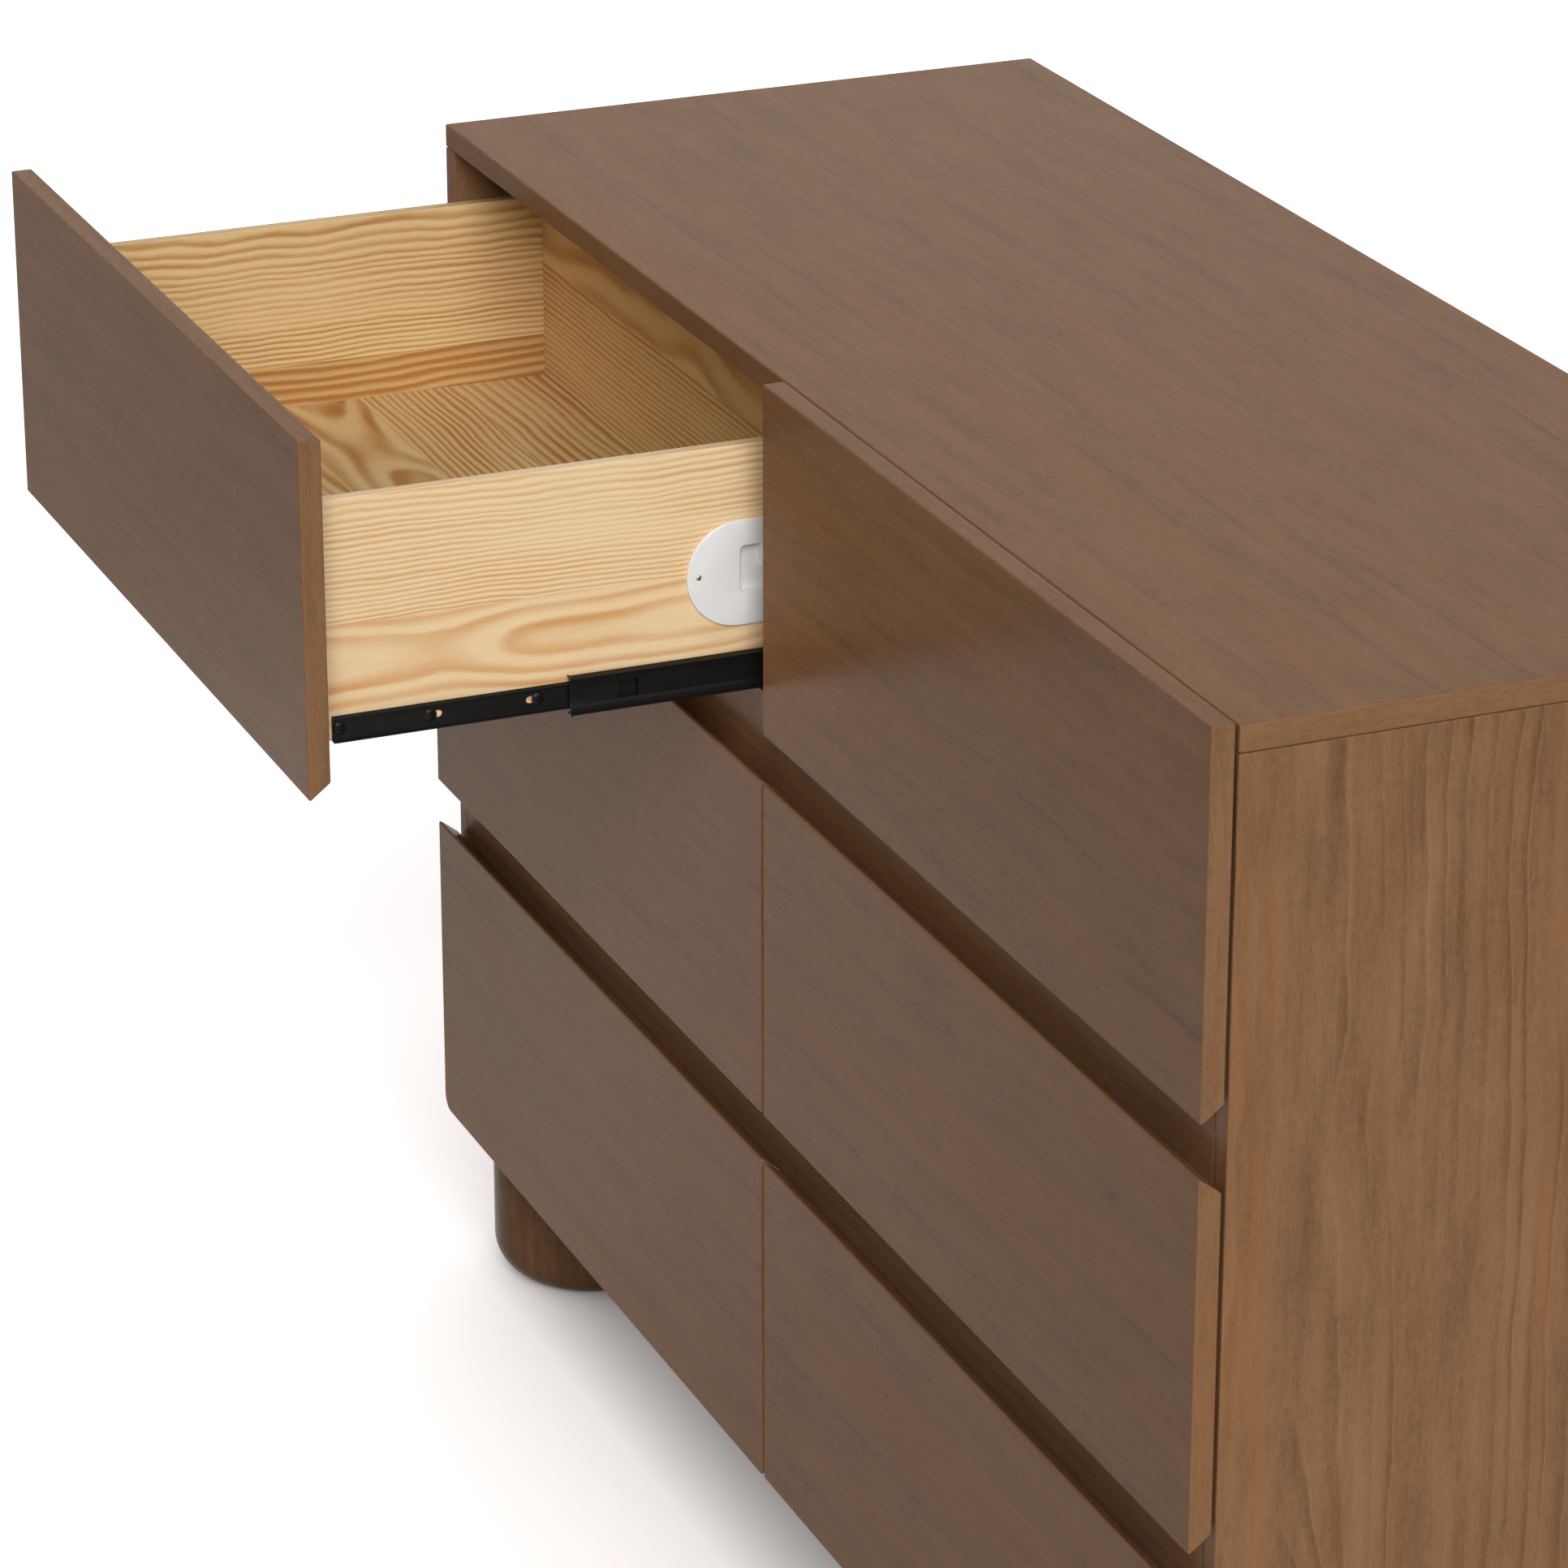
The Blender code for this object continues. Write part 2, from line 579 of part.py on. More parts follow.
def make_drawers():
    """Six drawers on their runners. What is alike shares one mesh."""
    box = boxes("drawer_box", ((-BOX_HALF, BOX_START, BOX_FOOT), (BOX_HALF, BOX_END, BOX_TOP)))
    bottom_top = BOX_TOP - BOTTOM_DROP
    inside = box_space("inside", bottom_top, BOX_TOP + BOARD)
    recess = box_space("recess", BOX_FOOT - BOARD, bottom_top - BOTTOM_BOARD)
    pilot_holes = box_pilot_holes()
    case_member = channel("case_member", CASE_MEMBER_HEIGHT, CASE_MEMBER_REACH, CASE_MEMBER_LENGTH)
    case_screws = screws_mesh("case_screws", CASE_SCREWS)
    middle = middle_member()
    races = races_mesh()
    window = window_mesh()
    drawer_member = channel("drawer_member", DRAWER_MEMBER_HEIGHT, DRAWER_MEMBER_REACH, DRAWER_MEMBER_LENGTH)
    slots = slots_mesh()
    drawer_screws = screws_mesh("drawer_screws", [along for along, _ in DRAWER_SCREWS])

    for row, row_name in enumerate(ROWS):
        for column, side in COLUMNS.items():
            prefix = f"{row_name}_{column}_"
            open_by = OPEN_BY if (row_name, column) == OPEN_DRAWER else 0
            slide = joint_empty(prefix + "slide", (side * BAY_CENTRE, FACE_Y - open_by, row_z(row)))
            half_slide = joint_empty(prefix + "half_slide",
                                     (side * BAY_CENTRE, FACE_Y - open_by / 2, row_z(row)))

            board = front_mesh(prefix + "front", row < len(ROWS) - 1, side if row == 0 else 0)
            front = place(prefix + "drawer_front", board, walnut_front,
                          (side * ((CASE_WIDTH + SEAM) / 4 - BAY_CENTRE), 0, 0), slide)
            round_edges(front, FRONT_ARRIS)
            drawer_box = place(prefix + "drawer_box", box, pine, parent=slide)
            round_edges(drawer_box, BOX_ARRIS)
            for space in (inside, recess, pilot_holes):
                combine(drawer_box, "DIFFERENCE", space)
            if open_by:
                combine(drawer_box, "DIFFERENCE", plate_seat_mesh())
                plate = place(prefix + "interlock_plate", plate_mesh(), white_plastic, parent=slide)
                combine(plate, "UNION", cup_mesh())
                combine(plate, "DIFFERENCE", cup_hollow_mesh())

            for hand, way in COLUMNS.items():
                on_case = place(f"{prefix}case_runner_{hand}", case_member, black_steel,
                                (side * BAY_CENTRE + way * BAY_HALF, RUNNER_Y, row_z(row) + RUNNER_Z),
                                turned_over=way > 0)
                combine(on_case, "UNION", case_screws)
                between = place(f"{prefix}middle_runner_{hand}", middle, black_steel,
                                (way * BAY_HALF, RUNNER_START + MIDDLE_SETBACK, RUNNER_Z), half_slide,
                                way > 0)
                combine(between, "UNION", races, "MANIFOLD")
                combine(between, "DIFFERENCE", window, "MANIFOLD")
                on_drawer = place(f"{prefix}drawer_runner_{hand}", drawer_member, black_steel,
                                  (way * BOX_HALF, RUNNER_START, RUNNER_Z), slide, way < 0)
                combine(on_drawer, "DIFFERENCE", slots)
                combine(on_drawer, "UNION", drawer_screws)


for old in list(bpy.data.objects):
    bpy.data.objects.remove(old)

parts = bpy.data.collections.new("dresser")
cutters = bpy.data.collections.new("dresser_cutters")
bpy.context.scene.collection.children.link(parts)
bpy.context.scene.collection.children.link(cutters)

walnut_front = finish("walnut_stained_front", (0.42, 0.35, 0.31), 0.42)
walnut_top = finish("walnut_stained_top", (0.50, 0.41, 0.36), 0.40)
walnut_side = finish("walnut_stained_side", (0.54, 0.40, 0.28), 0.45)
walnut_back = finish("walnut_stained_back", (0.45, 0.34, 0.25), 0.55)
walnut_leg = finish("walnut_stained_leg", (0.33, 0.24, 0.18), 0.45)
pine = finish("natural_pine", (0.88, 0.74, 0.54), 0.55)
black_steel = finish("black_steel", (0.09, 0.09, 0.09), 0.45, 0.6)
white_plastic = finish("white_plastic", (0.90, 0.90, 0.90), 0.30)

make_top()
for column, side in COLUMNS.items():
    make_side(column, side)
make_base()
make_back()
make_divider()
make_front_frame()
make_legs()
make_drawers()
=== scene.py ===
"""A six-drawer dresser in walnut stain, its top left drawer open on its runners.

The dresser's solids are loaded as a fixed frame. Each operator makes one piece, or a group of
like pieces, as surfaces worked out with numpy, and gives them their finish. Lengths are in
metres. X runs to the right as seen from the front, Y from the fronts to the back, and Z up.
"""
import itertools
import math

import bmesh
import bpy
import numpy as np
from bpy.props import FloatProperty, FloatVectorProperty, PointerProperty
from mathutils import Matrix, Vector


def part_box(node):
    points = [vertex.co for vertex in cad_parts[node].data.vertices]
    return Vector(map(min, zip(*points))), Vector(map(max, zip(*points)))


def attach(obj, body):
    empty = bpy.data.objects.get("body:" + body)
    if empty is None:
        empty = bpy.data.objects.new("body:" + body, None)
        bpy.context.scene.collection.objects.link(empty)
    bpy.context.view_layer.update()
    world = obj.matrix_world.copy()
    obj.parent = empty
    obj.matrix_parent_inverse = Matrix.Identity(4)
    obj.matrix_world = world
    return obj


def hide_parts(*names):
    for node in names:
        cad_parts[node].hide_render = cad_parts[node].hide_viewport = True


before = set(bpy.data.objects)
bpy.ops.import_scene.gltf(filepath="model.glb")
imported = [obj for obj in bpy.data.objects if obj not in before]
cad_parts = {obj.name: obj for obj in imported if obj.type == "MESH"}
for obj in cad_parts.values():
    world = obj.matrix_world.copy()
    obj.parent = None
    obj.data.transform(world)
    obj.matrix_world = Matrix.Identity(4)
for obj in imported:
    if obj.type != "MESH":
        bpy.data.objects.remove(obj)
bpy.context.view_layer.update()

bl_info = {
    "name": "Six-drawer dresser",
    "version": (1, 0, 0),
    "blender": (4, 5, 0),
    "location": "View3D > Sidebar > Dresser",
    "description": "Makes and finishes the pieces of a six-drawer dresser, and its stage",
    "category": "Add Mesh",
}

# Names in the frame
ROWS = ("bottom", "middle", "top")
COLUMNS = ("left", "right")
DRAWERS = [f"{row}_{column}" for row in ROWS for column in COLUMNS]
RUNNERS = [(drawer, hand) for drawer in DRAWERS for hand in COLUMNS]
SIGN = {"left": -1, "right": 1}

# Boards: rise of a finger edge, corner of the case, boards and joints of a drawer, small edges
FINGER_RISE = 0.0125
CASE_CORNER = 0.013
BOX_BOARD = 0.010
BOTTOM_BOARD = 0.009
BOTTOM_DROP = 0.1457
BOTTOM_GAP = 0.0006
GLUE_LINE = 0.00004
LEG_ARRIS = 0.001
SMALL_ARRIS = 0.0002
CUTTER_ARRIS = 0.0001

# Runners, in their own frame: X off the wall that a member is on, Y from its front end, Z from
# its middle
SEAT = 0.0003
SHEET = 0.0012
CASE_MEMBER = {"half": 0.0175, "reach": 0.0090, "groove": 0.0005, "groove_at": 0.0050}
DRAWER_MEMBER = {"half": 0.0095, "reach": 0.0051, "groove": -0.0006, "groove_at": 0.0035}
CHANNEL_BEND = 0.0011
GROOVE_WIDTH = 0.0018
MIDDLE_HALF = 0.0135
MIDDLE_BACK = 0.0034
MIDDLE_FRONT = 0.0110
MIDDLE_WEB = 0.0056
MIDDLE_EMBOSS = 0.0010
EMBOSS_EDGES = (0.0104, 0.0080, 0.0068, 0.0)
MIDDLE_FILLET = 0.0003
LIP_DENT = 0.0005
LIP_DENT_WIDTH = 0.0011
FLARE = 0.07
FLARE_LENGTH = 0.003
WINDOW = (0.036, 0.0505)
WINDOW_HALF = 0.0065
STOP_DEPTH = 0.0016
STOP_RISE = 0.0004
STOP_INSET = 0.0006
SLOT_HALF = 0.00275
BALL = 0.0012
BALLS = 14
BALL_SPAN = 0.170
BALL_INSET = 0.006
DRAWER_BALLS = (0.0092, 0.0111)
CASE_BALLS = (0.0050, 0.01475)
CAGE_HALF = (0.0004, 0.0007)

# Screws: places along the runners, with each slot's reach, then the heads. HEAD_GRID is one side
# of a head's grid. It, the cross and the crown's fall are shares of the radius or the height
CASE_SCREWS = (0.037, 0.261)
DRAWER_SCREWS = ((0.0051, 0), (0.0706, 0.006), (0.1488, -0.006))
RUNNER_SCREW = {"radius": 0.0045, "height": 0.0016, "recess": 0.0009}
PLATE_SCREW = {"radius": 0.0019, "height": 0.0008, "recess": 0.0005}
HEAD_GRID = (-1, -0.9, -0.7, -0.56, -0.5, -0.17, -0.11, 0.11, 0.17, 0.5, 0.56, 0.7, 0.9, 1)
CROWN_FALL = 0.62
CROSS_ARM = 0.14
CROSS_LENGTH = 0.53
FRONT_SCREW_SHARE = 0.32
FRONT_SCREW_INSET = 0.030

# Interlock plates: the cup behind the window, the cam, whose outline draws in by CAM_DRAWS at
# CAM_DEPTHS below the face, and the screws. A hole is a radius and a height off the face, twice
CUP_HALF = (0.0195, 0.0170)
CUP_RISE = 0.0028
CUP_DEPTH = 0.007
CUP_WALL = 0.0015
CUP_CORNER = 0.004
CUP_FILLET = 0.0006
WINDOW_ROUND = 0.0007
CAM_START = 0.016
CAM_SLOPE = 0.010
CAM_DEPTHS = (CUP_DEPTH, 0.0022, 0.0014, 0.0010)
CAM_DRAWS = (0, 0, 0.0004, 0.0010)
PLATE_SCREW_INSET = 0.009
PLATE_SCREW_SINK = 0.0013
PLATE_HOLE = ((0.0025, 0.005), (0.0025, -0.0014))

# Points that curves are drawn with, and the distance within which points are one
ARC_STEPS = 5
LIP_STEPS = 9
MIDDLE_LIP_STEPS = (4, 15, 8)
BEND_STEPS = 4
PLATE_STEPS = 12
FOOT_STEPS = 17
BALL_STEPS = 6
LEG_SIDES = 96
BALL_SIDES = 8
HOLE_SIDES = 24
MERGE = 0.000001

# Finishes: where most of a noise lies, how many rings noise moves the pith by, how fast the
# breadth of years changes, and the pith and slant of the kept solids
NOISE_RANGE = (0.3, 0.7)
RING_DRIFT = 9.0
YEAR_CELLS = 0.37
KEPT_PITH = (0.03, 0.05, 0.015)
KEPT_SLANT = 0.8

# Finishes made so far, by name
FINISHES = {}


def linear(*display):
    """A display colour, each channel from 0 to 1, as the linear colour that a shader takes."""
    channels = np.array(display)
    curve = ((channels + 0.055) / 1.055) ** 2.4
    return tuple(float(value) for value in np.where(channels <= 0.04045, channels / 12.92, curve))


class DresserSizes(bpy.types.PropertyGroup):
    """Sizes of the finished pieces that the frame leaves open."""

    case_arris: FloatProperty(
        name="Case arris", description="Radius along the edges of the case's panels",
        default=0.0015, unit="LENGTH")
    front_arris: FloatProperty(
        name="Front arris", description="Radius along the edges of the drawer fronts",
        default=0.0013, unit="LENGTH")
    box_arris: FloatProperty(
        name="Box arris", description="Radius along the edges of the drawers' boards",
        default=0.0008, unit="LENGTH")
    foot_round: FloatProperty(
        name="Foot rounding", description="Radius round the foot of each leg",
        default=0.032, unit="LENGTH")
    plate_round: FloatProperty(
        name="Plate rounding", description="Radius round the face of an interlock plate",
        default=0.0008, unit="LENGTH")


class DresserColours(bpy.types.PropertyGroup):
    """Colours of the finishes."""

    walnut_dark: FloatVectorProperty(
        name="Walnut, dark", description="Stained veneer along its grain lines",
        default=linear(0.40, 0.283, 0.190), subtype="COLOR", min=0, max=1)
    walnut: FloatVectorProperty(
        name="Walnut", description="Stained veneer between its grain lines",
        default=linear(0.53, 0.390, 0.276), subtype="COLOR", min=0, max=1)
    walnut_light: FloatVectorProperty(
        name="Walnut, light", description="The palest streaks of the veneer",
        default=linear(0.60, 0.45, 0.325), subtype="COLOR", min=0, max=1)
    walnut_warm: FloatVectorProperty(
        name="Walnut, warm", description="Redder parts of the veneer",
        default=linear(0.58, 0.392, 0.246), subtype="COLOR", min=0, max=1)
    pine: FloatVectorProperty(
        name="Pine", description="The soft part of pine's year rings",
        default=linear(0.95, 0.842, 0.668), subtype="COLOR", min=0, max=1)
    pine_ring: FloatVectorProperty(
        name="Pine rings", description="The hard part of pine's year rings",
        default=linear(0.845, 0.63, 0.405), subtype="COLOR", min=0, max=1)
    # The inner pine colours are a darker, more orange copy of the pine, for the boards deeper in a
    # drawer: painted shade.
    inner_pine: FloatVectorProperty(
        name="Inner pine", description="Soft part of the rings on the deeper boards",
        default=linear(0.865, 0.75, 0.545), subtype="COLOR", min=0, max=1)
    inner_pine_ring: FloatVectorProperty(
        name="Inner pine rings", description="Hard part of the rings there",
        default=linear(0.665, 0.46, 0.23), subtype="COLOR", min=0, max=1)
    steel: FloatVectorProperty(
        name="Coated steel", description="Black coating of the runners and their screws",
        default=linear(0.075, 0.075, 0.073), subtype="COLOR", min=0, max=1)
    bare_steel: FloatVectorProperty(
        name="Bare steel", description="Balls, and the screws of the plates",
        default=linear(0.72, 0.71, 0.69), subtype="COLOR", min=0, max=1)
    plastic: FloatVectorProperty(
        name="Plastic", description="Moulded interlock plates",
        default=linear(0.93, 0.93, 0.925), subtype="COLOR", min=0, max=1)


class DresserStage(bpy.types.PropertyGroup):
    """Camera, lights and floor."""

    lens: FloatProperty(
        name="Lens", description="Focal length in millimetres on a 36 mm sensor", default=138.94)
    eye: FloatVectorProperty(
        name="Eye", description="Place of the camera",
        default=(3.6049, -1.582, 2.2542), subtype="TRANSLATION")
    yaw: FloatProperty(
        name="Yaw", description="Turn of the camera to the left of the Y axis",
        default=1.17546, subtype="ANGLE")
    pitch: FloatProperty(
        name="Pitch", description="Tilt of the camera below the level",
        default=0.38733, subtype="ANGLE")
    fill: FloatProperty(
        name="Fill", description="Strength of the white surroundings on the pieces", default=0.12)
    rear_fill: FloatProperty(
        name="Rear fill", description="What the surroundings add on the left and behind",
        default=2.0)
    key: FloatProperty(
        name="Key", description="Strength of the broad lamp on the right", default=2.75)
    key_breadth: FloatProperty(
        name="Key breadth", description="Angle that the lamp fills",
        default=math.radians(38), subtype="ANGLE")
    key_height: FloatProperty(
        name="Key height", description="The lamp's angle above the floor",
        default=math.radians(33.5), subtype="ANGLE")
    key_turn: FloatProperty(
        name="Key turn", description="The lamp's angle from the right towards the front",
        default=math.radians(15), subtype="ANGLE")
    floor_lift: FloatProperty(
        name="Floor lift", description="How white the floor is where it gets no light",
        default=0.70)


# Surfaces

class Surface:
    """Points, the corners of all faces in one array, and each face's size and stave."""

    def __init__(self, points, corners, sizes, staves=None):
        self.points = np.asarray(points, float).reshape(-1, 3)
        self.corners = np.asarray(corners, int).ravel()
        self.sizes = np.asarray(sizes, int)
        self.staves = np.zeros(len(self.sizes), int) if staves is None else staves

    def with_points(self, points):
        return Surface(points, self.corners, self.sizes, self.staves)

    def moved(self, x=0.0, y=0.0, z=0.0):
        return self.with_points(self.points + (x, y, z))

    def turned_to(self, sign):
        """The surface as it is for a sign of 1, and mirrored in X for -1."""
        return self.with_points(self.points * (sign, 1, 1))

    def as_stave(self, number):
        staves = np.full(len(self.sizes), number)
        return Surface(self.points, self.corners, self.sizes, staves)


def joined(surfaces):
    """Several surfaces as one, the corners of each counted on from the points before it."""
    starts = np.cumsum([0] + [len(surface.points) for surface in surfaces])
    return Surface(
        np.concatenate([surface.points for surface in surfaces]),
        np.concatenate([surface.corners + start for surface, start in zip(surfaces, starts)]),
        np.concatenate([surface.sizes for surface in surfaces]),
        np.concatenate([surface.staves for surface in surfaces]))


def lofted(stations):
    """A closed surface through M outlines of N points: (M - 1) x N quads, and two caps."""
    rows, columns = stations.shape[:2]
    here = np.arange(rows * columns).reshape(rows, columns)
    beside = np.roll(here, -1, axis=1)
    quads = np.stack([here[:-1], beside[:-1], beside[1:], here[1:]], axis=-1)
    corners = np.concatenate([quads.ravel(), here[0, ::-1], here[-1]])
    return Surface(stations, corners, [4] * ((rows - 1) * columns) + [columns, columns])


def rounded_rectangles(low, high, radii, steps=ARC_STEPS):
    """Outlines of rectangles with round corners.

    low and high hold each rectangle's lowest and highest pair of coordinates, and radii its four
    corner radii, anticlockwise from the high corner. A corner's points are its centre plus its
    radius times the cosine and sine of an angle that runs on a quarter turn.
    """
    quarter = np.linspace(0, math.pi / 2, steps + 1)
    angle = np.arange(4)[:, None] * math.pi / 2 + quarter
    towards_high = np.array([[True, True], [False, True], [False, False], [True, False]])
    centre = np.where(towards_high, high[:, None] - radii[:, :, None],
                      low[:, None] + radii[:, :, None])
    way = np.stack([np.cos(angle), np.sin(angle)], axis=-1)
    points = centre[:, :, None] + radii[:, :, None, None] * way
    return points.reshape(len(low), -1, 2)


def edge_inset(depth, thickness, rise, arris):
    """How far in from its sharp line an edge stands, at a depth behind the face.

    The edge's plane rises by rise over the thickness. A disc of the arris's radius rolls inside
    the sharp outline: the inset is the lowest point that it reaches at that depth.
    """
    slope = rise / thickness
    stretch = math.hypot(1, slope)
    nearest = np.clip(depth - arris * slope / stretch, arris, thickness - arris)
    dip = np.sqrt(np.maximum(arris ** 2 - (depth - nearest) ** 2, 0))
    return slope * nearest + arris * stretch - dip


def board(low, high, through, arris, corners=None, rises=(0, 0)):
    """A board with rounded edges, built up through one of its axes.

    At each depth its outline is a rectangle that stands in from the sharp one by edge_inset, with
    round corners. corners gives larger corner radii, anticlockwise from the high corner, and rises
    how far the low and the high edge stand in at the back, along the outline's second axis.
    """
    low, high = np.array(low, float), np.array(high, float)
    first, second = [axis for axis in range(3) if axis != through]
    thickness = high[through] - low[through]
    sweep, steps = (math.pi, 2 * ARC_STEPS) if any(rises) else (math.pi / 2, ARC_STEPS)
    start = arris * (1 - np.cos(np.linspace(0, sweep, steps)))
    depth = np.concatenate([start, thickness - start[::-1]])
    side = edge_inset(depth, thickness, 0, arris)
    below, above = [edge_inset(depth, thickness, rise, arris) for rise in rises]
    lows = np.stack([low[first] + side, low[second] + below], axis=-1)
    highs = np.stack([high[first] - side, high[second] - above], axis=-1)
    sharp = np.array(corners or (arris,) * 4)
    radii = np.maximum(np.maximum(sharp, arris) - side[:, None], arris / 20)
    outlines = rounded_rectangles(lows, highs, radii)
    points = np.empty(outlines.shape[:2] + (3,))
    points[..., through] = (low[through] + depth)[:, None]
    points[..., first] = outlines[..., 0]
    points[..., second] = outlines[..., 1]
    return lofted(points)


def turned(profile, steps):
    """A turned surface: each point of the profile, a radius and a height, goes round about Z."""
    radius, height = np.array(profile, float).T
    angle = np.linspace(0, 2 * math.pi, steps, endpoint=False)
    points = np.stack([radius[:, None] * np.cos(angle), radius[:, None] * np.sin(angle),
                       np.repeat(height[:, None], steps, axis=1)], axis=-1)
    return lofted(points)


def swept(outline, lengths, flare=0.0):
    """An outline in X and Z carried along Y, spread in Z towards its first end by the flare."""
    outline = np.asarray(outline, float)
    lengths = np.asarray(lengths, float)
    spread = 1 + flare * np.clip(1 - lengths / FLARE_LENGTH, 0, 1) ** 2
    points = np.empty((len(lengths), len(outline), 3))
    points[..., 0] = outline[:, 0]
    points[..., 1] = lengths[:, None]
    points[..., 2] = outline[:, 1] * spread[:, None]
    return lofted(points)


def ribbon(centre_line, thickness):
    """The closed outline of a bent sheet: its centre line moved to both sides, and mitred."""
    line = np.asarray(centre_line, float)
    along = np.diff(line, axis=0)
    normal = np.stack([-along[:, 1], along[:, 0]], axis=-1)
    normal /= np.linalg.norm(along, axis=1)[:, None]
    before = np.concatenate([normal[:1], normal])
    after = np.concatenate([normal, normal[-1:]])
    mitre = (before + after) / (1 + (before * after).sum(axis=1))[:, None]
    return np.concatenate([line + mitre * thickness / 2, (line - mitre * thickness / 2)[::-1]])


def read(items, attribute, width=1, kind=float):
    """An attribute of a mesh's vertices, corners or faces, as one array."""
    values = np.empty(width * len(items), kind)
    items.foreach_get(attribute, values)
    return values


def plain_object(name, surface):
    """An object of the surface, its double points merged and its faces turned outwards."""
    mesh = bpy.data.meshes.new(name)
    faces = np.split(surface.corners, np.cumsum(surface.sizes)[:-1])
    mesh.from_pydata(surface.points.tolist(), [], faces)
    staves = mesh.attributes.new("stave", "INT", "FACE")
    staves.data.foreach_set("value", surface.staves)
    shape = bmesh.new()
    shape.from_mesh(mesh)
    bmesh.ops.remove_doubles(shape, verts=shape.verts, dist=MERGE)
    bmesh.ops.recalc_face_normals(shape, faces=shape.faces)
    shape.to_mesh(mesh)
    shape.free()
    made = bpy.data.objects.new(name, mesh)
    bpy.context.scene.collection.objects.link(made)
    return made


def carved(surface, cutters):
    """The surface less its cutters, by exact Booleans."""
    whole = plain_object("carved", surface)
    tools = [plain_object("cutter", cutter) for cutter in cutters]
    for tool in tools:
        cut = whole.modifiers.new("cut", "BOOLEAN")
        cut.object = tool
        cut.operation = "DIFFERENCE"
        cut.solver = "EXACT"
    depsgraph = bpy.context.evaluated_depsgraph_get()
    mesh = bpy.data.meshes.new_from_object(whole.evaluated_get(depsgraph))
    result = Surface(read(mesh.vertices, "co", 3), read(mesh.loops, "vertex_index", kind=int),
                     read(mesh.polygons, "loop_total", kind=int))
    bpy.data.meshes.remove(mesh)
    for scrap in [whole, *tools]:
        data = scrap.data
        bpy.data.objects.remove(scrap)
        bpy.data.meshes.remove(data)
    return result


def grain_map(mesh, grain, staves):
    """Gives each stave a map in metres along and across the grain, and attributes for its rings.

    A face's first coordinate runs along the grain, or along its longer side where it is an end,
    and its second one across. Both count from the middle of the stave. A stave is its pith's
    place across the board, the pith's depth behind the face, the ring spacing, its tone, which on
    some boards also holds painted shade, and how far its map is moved on along the grain, so that
    no two are alike.
    """
    points = read(mesh.vertices, "co", 3).reshape(-1, 3)
    corners = read(mesh.loops, "vertex_index", kind=int)
    sizes = read(mesh.polygons, "loop_total", kind=int)
    facing = np.abs(read(mesh.polygons, "normal", 3).reshape(-1, 3)).argmax(axis=1)
    numbers = read(mesh.attributes["stave"].data, "value", kind=int)
    number = np.repeat(numbers, sizes)
    for index in range(len(staves)):
        own = np.unique(corners[number == index])
        points[own] -= (points[own].min(axis=0) + points[own].max(axis=0)) / 2
    order = (grain, *np.argsort(np.ptp(points, axis=0))[::-1])
    along_of = np.array([next(axis for axis in order if axis != face) for face in range(3)])
    across_of = 3 - np.arange(3) - along_of
    along = np.repeat(along_of[facing], sizes)
    across = np.repeat(across_of[facing], sizes)
    staves = np.array(staves)
    row = np.arange(len(corners))
    spread = points[corners]
    pairs = np.stack([spread[row, along] + staves[number, 4], spread[row, across]], axis=-1)
    mesh.uv_layers.new(name="grain").data.foreach_set("uv", pairs.astype(np.float32).ravel())
    pith = mesh.attributes.new("pith", "FLOAT_VECTOR", "FACE")
    pith.data.foreach_set("vector", staves[numbers, :3].ravel())
    tone = mesh.attributes.new("tone", "FLOAT", "FACE")
    tone.data.foreach_set("value", staves[numbers, 3])


def piece(name, surface, finish, body, replaced=(), grain=None, staves=(), sharp=None):
    """An object that rides on a body, smooth but for edges sharper than an angle in degrees."""
    made = plain_object(name, surface)
    made.data.materials.append(finish)
    if grain is not None:
        grain_map(made.data, grain, staves)
    made.data.shade_smooth()
    if sharp is None:
        even = made.modifiers.new("even_shading", "WEIGHTED_NORMAL")
        even.weight = 100
    else:
        made.data.set_sharp_from_angle(angle=math.radians(sharp))
    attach(made, body)
    if replaced:
        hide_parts(*replaced)
    return made


# Finishes

